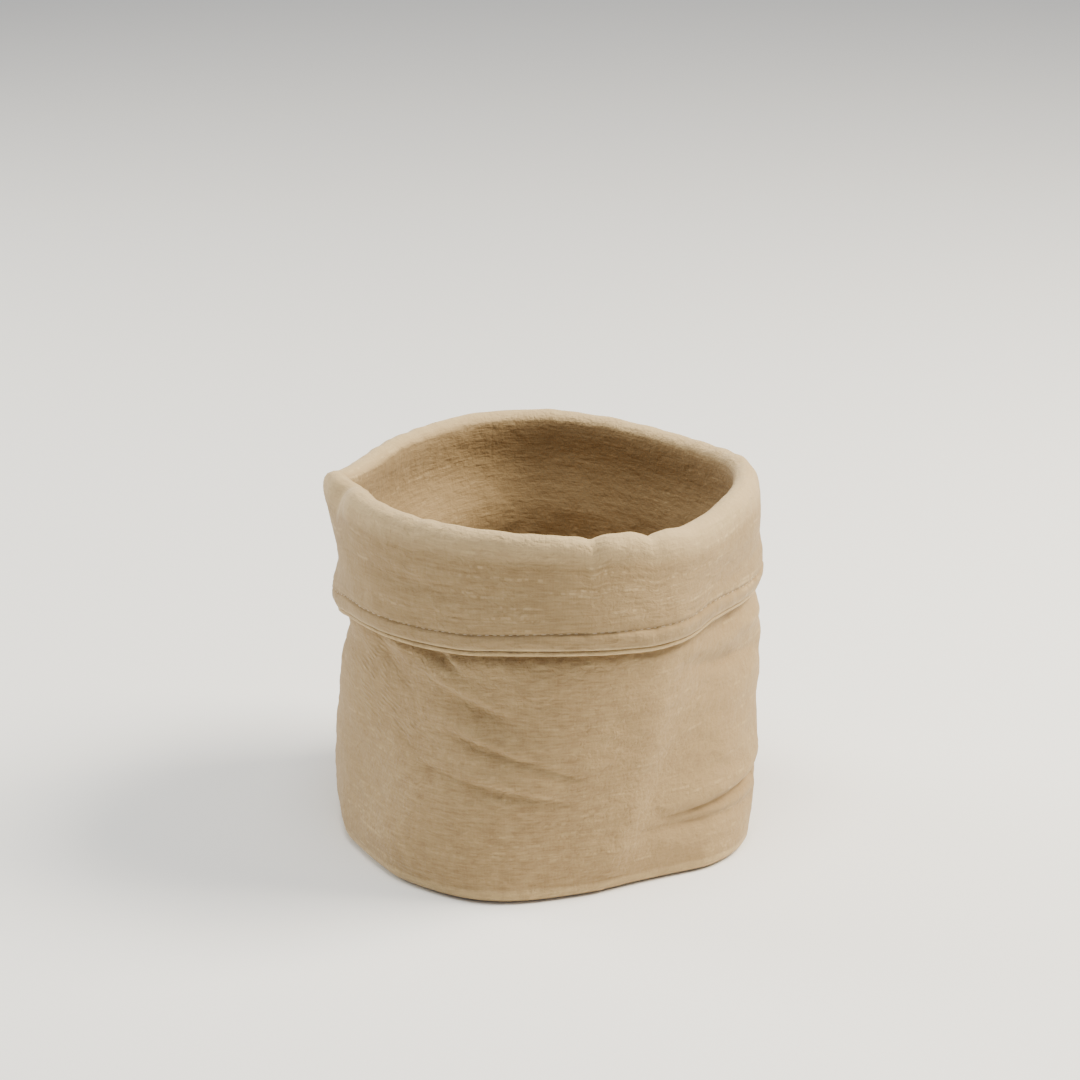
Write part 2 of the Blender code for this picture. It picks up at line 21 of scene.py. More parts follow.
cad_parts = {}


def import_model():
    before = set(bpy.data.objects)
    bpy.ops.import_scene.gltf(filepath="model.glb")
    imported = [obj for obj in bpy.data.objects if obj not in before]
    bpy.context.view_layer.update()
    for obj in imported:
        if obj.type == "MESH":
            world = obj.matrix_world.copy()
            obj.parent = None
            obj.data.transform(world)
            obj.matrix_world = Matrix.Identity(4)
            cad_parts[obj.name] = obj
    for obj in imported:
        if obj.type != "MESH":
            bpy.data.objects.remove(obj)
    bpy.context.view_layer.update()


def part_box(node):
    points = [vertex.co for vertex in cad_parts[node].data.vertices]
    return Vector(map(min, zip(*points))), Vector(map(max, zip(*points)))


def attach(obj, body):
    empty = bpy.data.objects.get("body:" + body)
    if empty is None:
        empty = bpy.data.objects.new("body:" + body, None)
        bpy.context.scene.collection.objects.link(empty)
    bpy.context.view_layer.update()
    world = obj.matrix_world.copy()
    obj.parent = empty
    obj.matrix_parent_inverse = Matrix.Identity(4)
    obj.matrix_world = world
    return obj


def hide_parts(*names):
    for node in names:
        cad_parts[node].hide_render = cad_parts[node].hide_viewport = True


log = logging.getLogger("linen_bread_bag")

MILLIMETRE = 0.001
BODY = "root"
CLOTH_RADIUS = 96.0  # turns an angle into a length along the cloth
FOLD_RUNS = 8  # straight runs that stand for a fold's bent line
RIPPLE_SHARE = 0.6  # keeps a sum of waves mostly within its depth
CLOTH_MAP = "Cloth"  # the map of each cloth, in metres along and across it
RING_VALUES = ("hollow", "wear_and_highlight", "seam", "gather", "rumple")  # values that the finish reads


class Ply(Enum):
    """The two cloths of the bag, by the node that each stands for."""

    OUTER = "outer_bag"
    LINING = "lining"


class Part(Enum):
    """Where on its cloth a ring of points lies."""

    BASE = 0
    WALL = 1
    CUFF = 2


# ----------------------------------------------------------------------------------------------
# The form of the bag
# ----------------------------------------------------------------------------------------------


@dataclass(frozen=True)
class Section:
    """A soft square section: its reach to a side, and how that is turned, stretched and shifted."""

    height: float
    reach: float
    squareness: float
    turn: float
    stretch: float
    shift_x: float
    shift_y: float


@dataclass(frozen=True)
class Level:
    """The height of a line round the bag at one angle."""

    angle: float
    height: float


@dataclass(frozen=True)
class Fold:
    """A fold along a bent line, as (angle, height) points, with its lift at each.

    The cloth rises by the lift on the line, and by less away from it: over is how far that
    spreads above the line, and under how far it spreads below it.
    """

    start: tuple[float, float]
    middle: tuple[float, float]
    end: tuple[float, float]
    lifts: tuple[float, float, float]
    over: float
    under: float

    def path(self) -> list[np.ndarray]:
        """The bent line as points that straight runs join.

        Returns:
            Points in millimetres: along the cloth from the fold's middle angle, and up.
        """
        knots = []
        for angle, height in (self.start, self.middle, self.end):
            knots.append(np.array([(angle - self.middle[0]) * math.pi / 180.0 * CLOTH_RADIUS, height]))
        first, middle, last = knots
        bend = 2.0 * middle - (first + last) / 2.0
        shares = np.linspace(0.0, 1.0, FOLD_RUNS + 1)
        return [(1 - t) ** 2 * first + 2 * t * (1 - t) * bend + t * t * last for t in shares]

    def lift_along(self, share: np.ndarray) -> np.ndarray:
        """The lift on the line itself.

        Args:
            share: How far along the line, from 0 to 1.

        Returns:
            Lifts in millimetres.
        """
        low, middle, high = self.lifts
        early = low + (middle - low) * share * 2.0
        late = middle + (high - middle) * (share * 2.0 - 1.0)
        return np.where(share < 0.5, early, late)


@dataclass(frozen=True)
class Tuck:
    """A place where the wall is drawn in under the hem."""

    angle: float
    half_width: float
    share: float  # of the full depth


@dataclass(frozen=True)
class Gathers:
    """A patch of fine gathers on the wall, with how far it spreads round and up."""

    angle: float
    height: float
    spread_round: float
    spread_up: float


SECTIONS = (
    Section(0.0, 93.5, 3.4, 0.0, 0.0, 0.0, -1.0),
    Section(12.0, 95.0, 3.3, 0.0, 0.0, 0.0, -1.0),
    Section(30.0, 96.0, 3.1, 2.0, 0.5, 0.0, 0.0),
    Section(55.0, 96.0, 2.9, 8.0, 1.0, 0.2, 0.6),
    Section(90.0, 96.0, 2.6, 20.0, 1.0, 0.6, 1.4),
    Section(115.0, 96.0, 2.5, 28.0, 0.5, 0.8, 1.6),
    Section(140.0, 96.0, 2.4, 32.0, 0.5, 0.6, 1.4),
    Section(190.0, 95.0, 2.4, 34.0, 0.0, 0.0, 0.0),
)
RIM_LINE = (
    Level(-115.0, 187.0),
    Level(-110.0, 189.6),
    Level(-102.0, 186.6),
    Level(-92.0, 191.2),
    Level(-88.0, 191.0),
    Level(-60.0, 188.5),
    Level(-32.0, 189.2),
    Level(-20.0, 188.4),
    Level(-11.0, 187.4),
    Level(-3.0, 187.9),
    Level(3.0, 185.4),
    Level(8.0, 185.4),
    Level(17.0, 184.0),
    Level(29.0, 184.0),
    Level(42.0, 186.4),
    Level(60.0, 186.5),
    Level(100.0, 182.5),
    Level(160.0, 187.0),
    Level(205.0, 185.5),
)
HEM_LINE = (
    Level(-115.0, 116.5),
    Level(-96.0, 122.5),
    Level(-80.0, 123.4),
    Level(-66.0, 123.2),
    Level(-54.0, 124.5),
    Level(-22.0, 129.8),
    Level(-4.0, 128.8),
    Level(8.0, 127.4),
    Level(17.0, 127.6),
    Level(28.0, 130.8),
    Level(54.0, 129.4),
    Level(66.0, 129.4),
    Level(115.0, 121.5),
    Level(165.0, 124.5),
    Level(215.0, 119.5),
)
# How far above the hem line the topstitched groove runs
GROOVE_RISE = (
    Level(-115.0, 11.1),
    Level(-42.0, 11.1),
    Level(-4.0, 12.2),
    Level(18.0, 12.0),
    Level(34.0, 10.6),
    Level(62.0, 9.8),
    Level(160.0, 11.1),
)

# Folds that both cloths share, from the foot to the rim
FORM_FOLDS = (
    # the front panel, which a loaf has pushed out above the foot
    Fold((-96.0, 6.0), (-85.0, 7.0), (-74.0, 8.0), (8.2, 8.0, 7.2), 25.0, 25.0),
    Fold((-94.0, 34.0), (-84.0, 39.0), (-74.0, 44.0), (3.0, 3.5, 4.0), 30.0, 30.0),
    Fold((-30.0, 34.0), (-15.0, 32.0), (0.0, 30.0), (0.4, 0.9, 0.4), 20.0, 20.0),
    # the corner that the side seam makes
    Fold((10.0, 176.0), (8.0, 96.0), (-6.0, 14.0), (0.8, 1.6, 1.8), 10.0, 20.0),
    # foot and lower half of the boxed side
    Fold((28.0, 2.0), (35.0, 2.0), (42.0, 2.0), (2.6, 1.7, 0.8), 14.0, 14.0),
    Fold((50.0, 4.0), (60.0, 7.0), (70.0, 9.0), (-1.0, -1.8, -1.2), 14.0, 14.0),
    Fold((54.0, 46.0), (64.0, 40.0), (74.0, 36.0), (-1.4, -1.9, -1.6), 24.0, 24.0),
    # right side of the rim, and left side of the hem
    Fold((56.0, 188.0), (65.0, 186.0), (74.0, 184.0), (-1.0, -1.8, -1.0), 13.0, 16.0),
    Fold((-126.0, 128.0), (-115.0, 128.0), (-104.0, 128.0), (1.4, 1.8, 1.2), 12.0, 9.0),
    # rim corner on the left, and the hollow beside it
    Fold((-115.0, 190.0), (-114.5, 171.0), (-114.0, 152.0), (6.2, 2.6, 0.0), 12.0, 12.0),
    Fold((-96.0, 192.0), (-97.0, 179.0), (-98.0, 166.0), (-3.5, -1.8, 0.0), 11.0, 11.0),
    Fold((-102.5, 197.0), (-102.0, 185.0), (-103.0, 168.0), (-5.4, -4.2, 0.0), 5.8, 5.2),
    # left side: under the hem, above the foot, and on the cuff
    Fold((-130.0, 106.0), (-107.0, 110.0), (-84.0, 114.0), (-3.6, -2.5, -1.4), 11.0, 11.0),
    Fold((-120.0, 14.0), (-113.0, 24.0), (-106.0, 34.0), (1.4, 1.4, 1.4), 20.0, 20.0),
    Fold((-130.0, 144.0), (-114.0, 144.0), (-98.0, 144.0), (-1.4, -2.2, -1.0), 16.0, 14.0),
)

# Folds of the wall below the cuff
WALL_FOLDS = (
    # pinch under the hem, the loose edge beside it, and the ridges that run down from it
    Fold((-66.0, 121.0), (-59.0, 118.8), (-51.0, 115.0), (-2.2, -4.8, -0.8), 2.6, 2.4),
    Fold((-56.0, 123.0), (-53.5, 118.5), (-48.0, 114.8), (2.6, 2.0, 0.2), 3.0, 2.2),
    Fold((-48.0, 122.0), (-34.0, 119.0), (-20.0, 120.0), (0.8, 1.2, 0.4), 6.0, 9.0),
    Fold((-66.0, 112.5), (-56.5, 108.5), (-43.0, 101.5), (0.5, 2.4, 0.6), 3.6, 2.4),
    Fold((-56.0, 102.0), (-45.0, 97.0), (-33.0, 90.5), (-0.8, -4.4, -0.8), 3.4, 6.6),
    # slack of the front panel
    Fold((-61.0, 88.5), (-48.5, 84.0), (-33.0, 77.0), (0.5, 2.6, 0.9), 4.0, 2.2),
    Fold((-54.0, 83.0), (-42.0, 79.0), (-20.0, 67.0), (-0.9, -2.8, -1.4), 2.2, 5.2),
    Fold((-76.0, 79.0), (-69.5, 69.0), (-60.0, 62.0), (-0.3, -0.7, -0.6), 1.8, 2.8),
    Fold((-64.0, 61.5), (-44.0, 60.0), (-23.0, 54.0), (-0.5, -2.4, -1.3), 1.6, 4.4),
    Fold((-66.0, 66.5), (-46.0, 64.0), (-24.0, 59.0), (0.2, 1.0, 0.5), 4.2, 2.0),
    Fold((-74.0, 74.0), (-67.0, 71.0), (-58.0, 72.0), (-0.4, -0.8, -0.3), 1.8, 2.2),
    Fold((-62.0, 46.0), (-48.0, 44.0), (-34.0, 42.0), (0.5, 1.0, 0.0), 7.0, 8.0),
    Fold((-27.0, 54.0), (-26.0, 34.0), (-25.0, 14.0), (-0.6, -2.6, -1.6), 22.0, 40.0),
    # left of the pinch
    Fold((-86.0, 118.0), (-77.0, 112.0), (-66.0, 109.0), (-1.2, -2.0, -0.8), 6.0, 8.0),
    Fold((-83.0, 120.0), (-77.0, 107.0), (-70.0, 99.0), (-0.7, -0.5, -0.2), 2.8, 3.4),
    Fold((-75.0, 121.0), (-71.0, 112.0), (-64.0, 105.0), (0.6, 0.4, 0.1), 3.6, 3.2),
    Fold((-96.0, 118.0), (-91.0, 108.0), (-84.0, 100.0), (-0.5, -0.4, -0.2), 2.8, 3.2),
    # boxed side, under the hem
    Fold((18.0, 118.0), (44.0, 117.0), (72.0, 115.0), (0.8, 2.2, 2.4), 6.0, 5.0),
    Fold((22.0, 108.5), (38.0, 105.0), (57.0, 100.0), (-0.9, -2.2, -1.0), 3.2, 4.0),
    Fold((58.0, 106.0), (67.0, 102.0), (80.0, 98.0), (1.2, 3.4, 2.4), 9.0, 8.0),
    Fold((34.0, 94.0), (56.0, 90.0), (78.0, 86.0), (0.6, 1.0, 0.2), 8.0, 9.0),
    # boxed side, above the foot
    Fold((9.0, 34.5), (24.0, 33.8), (48.0, 37.0), (-0.6, -3.2, -3.0), 2.4, 2.2),
    Fold((3.0, 29.0), (19.0, 28.6), (46.0, 26.5), (-0.6, -2.6, -2.0), 1.9, 4.4),
    Fold((12.0, 40.5), (30.0, 40.5), (54.0, 46.0), (0.6, 2.2, 1.6), 8.0, 3.0),
    # the side seam, which stands out a little down to its tuck at the foot
    Fold((5.0, 112.0), (4.0, 66.0), (-7.0, 14.0), (0.3, 0.8, 1.0), 7.0, 8.0),
    Fold((-12.0, 12.0), (-6.0, 8.0), (1.0, 4.0), (-0.5, -1.2, -0.9), 2.4, 2.4),
    # back panel and far side
    Fold((98.0, 104.0), (120.0, 97.0), (142.0, 88.0), (-2.0, -2.6, -1.0), 3.6, 7.0),
    Fold((106.0, 92.0), (122.0, 85.0), (138.0, 78.0), (1.4, 2.0, 0.8), 7.0, 5.0),
    Fold((104.0, 60.0), (116.0, 56.0), (130.0, 58.0), (-0.8, -1.8, -0.6), 3.0, 6.0),
    Fold((160.0, 112.0), (173.0, 106.0), (186.0, 98.0), (-2.4, -2.2, -1.2), 3.6, 6.0),
    Fold((122.0, 46.0), (146.0, 50.0), (170.0, 60.0), (-1.6, -2.8, -1.4), 3.4, 8.0),
    Fold((176.0, 74.0), (196.0, 68.0), (214.0, 60.0), (-1.4, -2.6, -2.0), 3.6, 7.0),
    Fold((180.0, 34.0), (198.0, 38.0), (216.0, 46.0), (1.6, 1.8, 1.0), 7.0, 4.0),
    Fold((196.0, 100.0), (208.0, 96.0), (224.0, 97.0), (-0.8, -1.8, -1.2), 3.0, 6.0),
)

# Notches of the rim on both sides of the side seam, and the bulge between them
RIM_NOTCHES = (
    Fold((-14.0, 196.0), (-13.5, 186.0), (-12.5, 176.0), (-2.2, -1.4, 0.0), 2.6, 2.6),
    Fold((3.5, 196.0), (3.0, 187.0), (1.0, 180.0), (-3.0, -1.8, 0.0), 2.3, 2.3),
    Fold((-8.0, 194.0), (-8.0, 186.0), (-7.5, 178.0), (1.2, 0.9, 0.0), 4.5, 4.5),
)

# Folds of the cuff alone
CUFF_FOLDS = RIM_NOTCHES + (
    # the face drawn in under the rolled rim
    Fold((-44.0, 176.5), (-16.0, 175.0), (14.0, 172.5), (-0.5, -2.6, -0.8), 5.0, 15.0),
    # the rim pinched in beside its left corner
    Fold((-102.5, 197.0), (-102.0, 186.0), (-103.0, 173.0), (-2.4, -2.2, 0.0), 4.0, 3.6),
    Fold((-92.0, 196.0), (-91.5, 186.0), (-89.0, 174.0), (2.4, 1.6, 0.0), 5.0, 4.0),
    # long shallow ripples of the face
    Fold((-88.0, 170.0), (-66.0, 165.0), (-40.0, 166.0), (0.4, 0.9, 0.2), 4.0, 3.0),
    Fold((-92.0, 160.0), (-66.0, 157.0), (-34.0, 159.0), (-0.5, -0.9, -0.2), 3.0, 4.0),
    Fold((-84.0, 150.0), (-60.0, 147.5), (-30.0, 150.0), (0.3, 0.8, 0.3), 4.0, 3.0),
    Fold((10.0, 168.0), (34.0, 164.0), (58.0, 165.0), (0.3, 0.9, 0.5), 6.0, 5.0),
    Fold((22.0, 152.0), (44.0, 150.0), (70.0, 154.0), (-0.4, -1.0, -0.8), 5.0, 6.0),
    Fold((120.0, 160.0), (150.0, 156.0), (176.0, 160.0), (-0.6, -1.2, -0.4), 5.0, 6.0),
    Fold((190.0, 168.0), (206.0, 162.0), (226.0, 164.0), (0.6, 1.0, 0.4), 6.0, 5.0),
)

# Where the wall is drawn in under the hem
HEM_TUCKS = (
    Tuck(-24.0, 62.0, 1.0),
    Tuck(-78.0, 34.0, 0.7),
)

# Where the wall is finely gathered
GATHERS = (
    Gathers(-86.0, 92.0, 20.0, 24.0),
    Gathers(-68.0, 72.0, 14.0, 12.0),
    Gathers(132.0, 98.0, 22.0, 18.0),
    Gathers(-160.0, 84.0, 20.0, 20.0),
)

# How rumpled the panels are round the bag, from 0 to 1: more on the broad ones than at the sides
RUMPLE = (
    Level(-135.0, 0.45),
    Level(-112.0, 0.40),
    Level(-84.0, 0.60),
    Level(-62.0, 1.00),
    Level(-30.0, 1.00),
    Level(-10.0, 0.85),
    Level(8.0, 0.45),
    Level(55.0, 0.35),
    Level(80.0, 0.80),
    Level(150.0, 0.80),
    Level(190.0, 0.45),
)


def smooth_through(places: np.ndarray, values: np.ndarray, place: np.ndarray) -> np.ndarray:
    """A smooth curve through a table's values, flat where the table turns back.

    Args:
        places: Where the table's rows are, in rising order.
        values: The table's values there.
        place: Where the curve is read.

    Returns:
        The curve's values, in the shape of place.
    """
    step = np.diff(places)
    slope = np.diff(values) / step
    tangent = np.zeros(len(places))
    tangent[1:-1] = (slope[:-1] * step[1:] + slope[1:] * step[:-1]) / (step[:-1] + step[1:])
    tangent[1:-1][slope[:-1] * slope[1:] <= 0.0] = 0.0
    tangent[0], tangent[-1] = slope[0], slope[-1]
    place = np.clip(place, places[0], places[-1])
    index = np.clip(np.searchsorted(places, place, side="right") - 1, 0, len(step) - 1)
    part = (place - places[index]) / step[index]
    rise = part * part * (3.0 - 2.0 * part)
    low = part * (1.0 - part) ** 2 * step[index] * tangent[index]
    high = part * part * (part - 1.0) * step[index] * tangent[index + 1]
    return values[index] * (1.0 - rise) + values[index + 1] * rise + low + high


def smooth_step(value: np.ndarray, start: float, full: float) -> np.ndarray:
    """From 0 at start to 1 at full, level at both ends."""
    part = np.clip((value - start) / (full - start), 0.0, 1.0)
    return part * part * (3.0 - 2.0 * part)


def bell(distance: np.ndarray, width: np.ndarray | float = 1.0) -> np.ndarray:
    """A smooth bump of height 1, a third as high at its width."""
    return np.exp(-((distance / width) ** 2))


def along_cloth(angle: np.ndarray, centre: np.ndarray | float) -> np.ndarray:
    """How far angles lie from a centre along the cloth, the shorter way round, in millimetres."""
    return np.radians((angle - centre + 180.0) % 360.0 - 180.0) * CLOTH_RADIUS


def level_at(line: tuple[Level, ...], angle: np.ndarray) -> np.ndarray:
    """The height of a line that goes round the bag.

    Args:
        line: The line's rows, in rising order of angle.
        angle: Where it is read, in degrees.

    Returns:
        Heights in millimetres.
    """
    angles = np.array([row.angle for row in line])
    heights = np.array([row.height for row in line])
    angles = np.concatenate((angles - 360.0, angles, angles + 360.0))
    return smooth_through(angles, np.tile(heights, 3), angle)


def fold_lift(folds: tuple[Fold, ...], angle: np.ndarray, height: np.ndarray) -> np.ndarray:
    """How far a table of folds lifts the cloth.

    Args:
        folds: The folds.
        angle: Angles in degrees, of any shape that goes with height.
        height: Heights in millimetres.

    Returns:
        Lifts in millimetres, negative in a trough.
    """
    total = np.zeros(np.broadcast(angle, height).shape)
    for fold in folds:
        along = along_cloth(angle, fold.middle[0])
        path = fold.path()
        nearest = np.full(total.shape, np.inf)
        lift = np.zeros(total.shape)
        for index, (first, last) in enumerate(zip(path, path[1:])):
            run = last - first
            size = float(run @ run)
            part = np.clip(((along - first[0]) * run[0] + (height - first[1]) * run[1]) / size, 0.0, 1.0)
            across = along - first[0] - part * run[0]
            up = height - first[1] - part * run[1]
            side = np.where(up * run[0] - across * run[1] > 0.0, fold.over, fold.under)
            away = np.hypot(across, up) / side
            closer = away < nearest
            lift = np.where(closer, fold.lift_along((index + part) / FOLD_RUNS), lift)
            nearest = np.where(closer, away, nearest)
        total = total + lift * bell(nearest)
    return total


@dataclass(frozen=True)
class Ripples:
    """A gentle random relief that meets itself round the bag: a sum of waves from a fixed seed."""

    seed: int
    depth: float  # how far it mostly reaches to both sides, in millimetres
    round_length: float  # usual length of a wave round the bag
    up_length: float  # usual length of a wave up the bag
    waves: int = 56

    def at(self, angle: np.ndarray, height: np.ndarray) -> np.ndarray:
        """The relief, mostly within its depth.

        Args:
            angle: Angles in degrees.
            height: Heights in millimetres.

        Returns:
            Lifts in millimetres, in the shape of both together.
        """
        chance = np.random.default_rng(self.seed)
        girth = 2.0 * math.pi * CLOTH_RADIUS
        counts = np.round(chance.normal(0.0, girth / self.round_length, self.waves))
        rises = chance.normal(0.0, 2.0 * math.pi / self.up_length, self.waves)
        starts = chance.uniform(0.0, 2.0 * math.pi, self.waves)
        total = np.zeros(np.broadcast(angle, height).shape)
        for count, rise, start in zip(counts, rises, starts):
            total = total + np.cos(count * np.radians(angle) + rise * height + start)
        return self.depth * (total * math.sqrt(2.0 / self.waves) * RIPPLE_SHARE)


# The random reliefs, each with a seed of its own
HEM_WAVES = Ripples(5, 0.25, 42.0, 400.0)
RIM_WAVES = Ripples(8, 0.45, 26.0, 400.0)
WALL_BROAD = Ripples(11, 0.50, 70.0, 46.0)
WALL_SLACK = Ripples(12, 0.26, 34.0, 15.0)
WALL_FINE = Ripples(13, 0.10, 11.0, 6.5)
CUFF_BROAD = Ripples(21, 0.35, 80.0, 34.0)
CUFF_FINE = Ripples(22, 0.12, 22.0, 7.0)
STITCH_PUCKERS = Ripples(23, 0.26, 8.5, 26.0)
RIM_GATHERS = Ripples(24, 0.32, 13.0, 60.0)
LINING_HANG = Ripples(31, 0.9, 52.0, 150.0)
LINING_CREASES = Ripples(32, 0.45, 30.0, 36.0)


@dataclass
class Ring:
    """One closed row of points round the bag, and what the finish needs to know there."""

    points: np.ndarray  # metres
    part: Part
    hollow: np.ndarray  # lift of the cloth in millimetres, negative in a hollow
    # the rolled rim, the hem and the lip also get painted highlight through this value
    wear_and_highlight: np.ndarray  # from 0 to 1 where an edge or a fold is rubbed
    seam: np.ndarray  # distance to the nearest side seam along the cloth, in millimetres
    gather: np.ndarray  # from 0 to 1 where the cloth is finely gathered
    rumple: np.ndarray  # from 0 to 1, how rumpled the cloth is


@dataclass
class BagForm:
    """The surface that both cloths follow, with the sizes of the rim, the cuff and the hem band.

    A pair called fade holds where something sets in and where it is full.
    """

    cloth: float = 1.2  # how thick each cloth is
    ply_gap: float = 0.75  # the air between them where they lie together
    edge_radius: float = 6.0  # of the foot's rounded edge
    foot_fade: tuple[float, float] = (1.0, 16.0)  # heights, of the wall's ripples
    lining_slack: float = 4.4  # how far inside the wall the lining hangs
    slack_fade: tuple[float, float] = (158.0, 128.0)  # heights, of the lining's slack
    hang_fade: tuple[float, float] = (6.0, 24.0)  # heights, of the lining's own folds
    tuck_depth: float = 3.0  # how far the wall is drawn in under the hem
    tuck_drop: float = 1.4  # how far under the hem that is deepest
    tuck_height: float = 2.2  # how far above and below that it spreads
    wall_fade: tuple[float, float] = (9.0, 0.0)  # heights above the hem, of the wall's folds
    room_hem: float = 0.5  # how far folds may lift the wall behind the hem
    room_more: float = 14.0  # how much farther below it
    room_fade: tuple[float, float] = (-1.0, -9.0)  # heights above the hem, of that room
    roll_space: float = 4.5  # the clear space inside the rolled rim
    shoulder: float = 9.5  # how much longer the rolled rim curves down on its outer side
    lean_in: float = 2.6  # how far the wall leans in just under the rim
    lean_fade: tuple[float, float] = (-20.0, 0.0)  # heights above the roll, of that lean
    notch_height: float = 190.0  # where the rim's notches are read for its top line
    notch_share: float = 0.55  # how much of their lift the top line takes
    gather_fade: tuple[float, float] = (-16.0, 0.0)  # heights above the roll, of the rim's gathers
    ripple_fade: tuple[float, float] = (-1.0, 3.0)  # heights above the hem, of the cuff's ripples
    clear_middle: tuple[float, float] = (0.45, 2.6)  # share of the way down, and cuff to wall there
    clear_band: tuple[float, float] = (0.8, 2.6)
    clear_hem: float = 1.0  # from cuff to wall at the hem
    wall_stop: float = 3.0  # how far above the hem the wall's fine rows end
    band_space: float = 3.4  # how far above the groove the band's fine rows start
    lip_height: float = 2.7  # of the outer cloth's rolled lip
    groove_depth: float = 1.3  # of the topstitched groove
    groove_width: float = 1.25
    pucker_height: float = 6.5  # how far from the groove its stitching draws the cloth
    ease: float = 0.55  # how far the hidden cloth keeps clear of the groove
    ease_width: float = 2.6
    band_crown: float = 0.5  # how far the hem band bulges
    long_way: float = 60.0  # the angle that the sections are stretched towards
    columns: int = 360  # points in each ring
    seam_top: tuple[float, float] = (-11.0, 180.0)  # angle and height of the side seam at the rim
    seam_hem: tuple[float, float] = (-5.5, 127.0)
    far_seam: float = 172.0  # the angle of the other side seam
    angle: np.ndarray = field(init=False)
    hem: np.ndarray = field(init=False)
    groove: np.ndarray = field(init=False)
    rumple: np.ndarray = field(init=False)
    roll_top: np.ndarray = field(init=False)

    def __post_init__(self) -> None:
        """Work out what depends on the angle alone."""
        self.angle = np.linspace(-180.0, 180.0, self.columns, endpoint=False)
        self.hem = level_at(HEM_LINE, self.angle) + HEM_WAVES.at(self.angle, 0.0)
        self.groove = level_at(GROOVE_RISE, self.angle)
        self.rumple = level_at(RUMPLE, self.angle)
        rim = level_at(RIM_LINE, self.angle) + RIM_WAVES.at(self.angle, 0.0)
        notches = fold_lift(RIM_NOTCHES, self.angle, np.full(self.columns, self.notch_height))
        above_roll = self.roll_space / 2.0 + self.ply + self.cloth
        self.roll_top = rim + self.notch_share * notches - above_roll

    @property
    def ply(self) -> float:
        """One cloth and the air behind it."""
        return self.cloth + self.ply_gap

    @property
    def lining_edge(self) -> float:
        """How far above the cuff's lowest edge the lining ends."""
        return self.lip_height + self.ply_gap

    def layer(self, ply: Ply) -> float:
        """How far the middle of a cloth lies from the shared surface, at the rim and the cuff."""
        return self.cloth / 2.0 + (self.ply if ply is Ply.LINING else 0.0)

    def section(self, name: str, height: np.ndarray) -> np.ndarray:
        """One column of the section table at any height.

        Args:
            name: The column's name.
            height: Heights in millimetres.

        Returns:
            Its values at those heights.
        """
        heights = np.array([row.height for row in SECTIONS])
        values = np.array([getattr(row, name) for row in SECTIONS])
        return smooth_through(heights, values, height)

    def reach(self, angle: np.ndarray, height: np.ndarray) -> np.ndarray:
        """How far the smooth section reaches from its middle.

        Args:
            angle: Angles in degrees.
            height: Heights in millimetres.

        Returns:
            Distances in millimetres.
        """
        turned = np.radians(angle - self.section("turn", height))
        power = self.section("squareness", height)
        soft = (np.abs(np.cos(turned)) ** power + np.abs(np.sin(turned)) ** power) ** (-1.0 / power)
        stretch = self.section("stretch", height) * np.cos(2.0 * np.radians(angle - self.long_way))
        return self.section("reach", height) * soft + stretch

    def point(self, angle: np.ndarray, height: np.ndarray, reach: np.ndarray) -> np.ndarray:
        """Points at an angle, a height and a distance from the section's middle.

        Args:
            angle: Angles in degrees.
            height: Heights in millimetres.
            reach: Distances in millimetres.

        Returns:
            Points in metres, one to a row.
        """
        x = self.section("shift_x", height) + reach * np.cos(np.radians(angle))
        y = self.section("shift_y", height) + reach * np.sin(np.radians(angle))
        return np.stack((x, y, height), axis=-1) * MILLIMETRE

    def slant(self, reach: np.ndarray) -> np.ndarray:
        """How much longer a layer is, measured from the middle, where a ring runs at a slant.

        Args:
            reach: How far the ring reaches, one for each column.

        Returns:
            Factors of 1 or a little more.
        """
        turn = 2.0 * math.pi / self.columns
        steep = np.abs(np.roll(reach, -1) - reach) / (turn * reach)
        return np.sqrt(1.0 + np.maximum(steep, np.roll(steep, 1)) ** 2)

    def form_lift(self, height: np.ndarray) -> np.ndarray:
        """Lift of the folds that both cloths share, round the whole bag."""
        return fold_lift(FORM_FOLDS, self.angle, height)

    def inner_lift(self, height: np.ndarray) -> np.ndarray:
        """Lift of the wall inside the cuff, which leans in just under the rim.

        Args:
            height: Heights in millimetres, one for each column.

        Returns:
            Lifts in millimetres.
        """
        leaning = smooth_step(height - self.roll_top, *self.lean_fade)
        return self.form_lift(height) - self.lean_in * leaning

    def wall_lift(self, height: np.ndarray) -> np.ndarray:
        """Lift of the outer bag's wall, with the folds and puckers below the cuff.

        Args:
            height: Heights in millimetres, one for each column.

        Returns:
            Lifts in millimetres.
        """
        above = height - self.hem
        folds = fold_lift(WALL_FOLDS, self.angle, height)
        ripples = [relief.at(self.angle, height) for relief in (WALL_BROAD, WALL_SLACK, WALL_FINE)]
        loose = folds + sum(ripples) * smooth_step(height, *self.foot_fade)
        soft = loose * smooth_step(above, *self.wall_fade) + self.tuck_lift(above)
        room = self.room_hem + self.room_more * smooth_step(above, *self.room_fade)
        return self.inner_lift(height) + np.minimum(soft, room)

    def tuck_lift(self, above: np.ndarray) -> np.ndarray:
        """How the wall is drawn in under the hem.

        Args:
            above: Heights above the hem in millimetres, one for each column.

        Returns:
            Lifts in millimetres, negative where it is drawn in.
        """
        shares = []
        for tuck in HEM_TUCKS:
            away = along_cloth(self.angle, tuck.angle) / tuck.half_width
            shares.append(tuck.share * np.exp(-(away**4)))
        return -self.tuck_depth * np.max(shares, axis=0) * bell(above + self.tuck_drop, self.tuck_height)

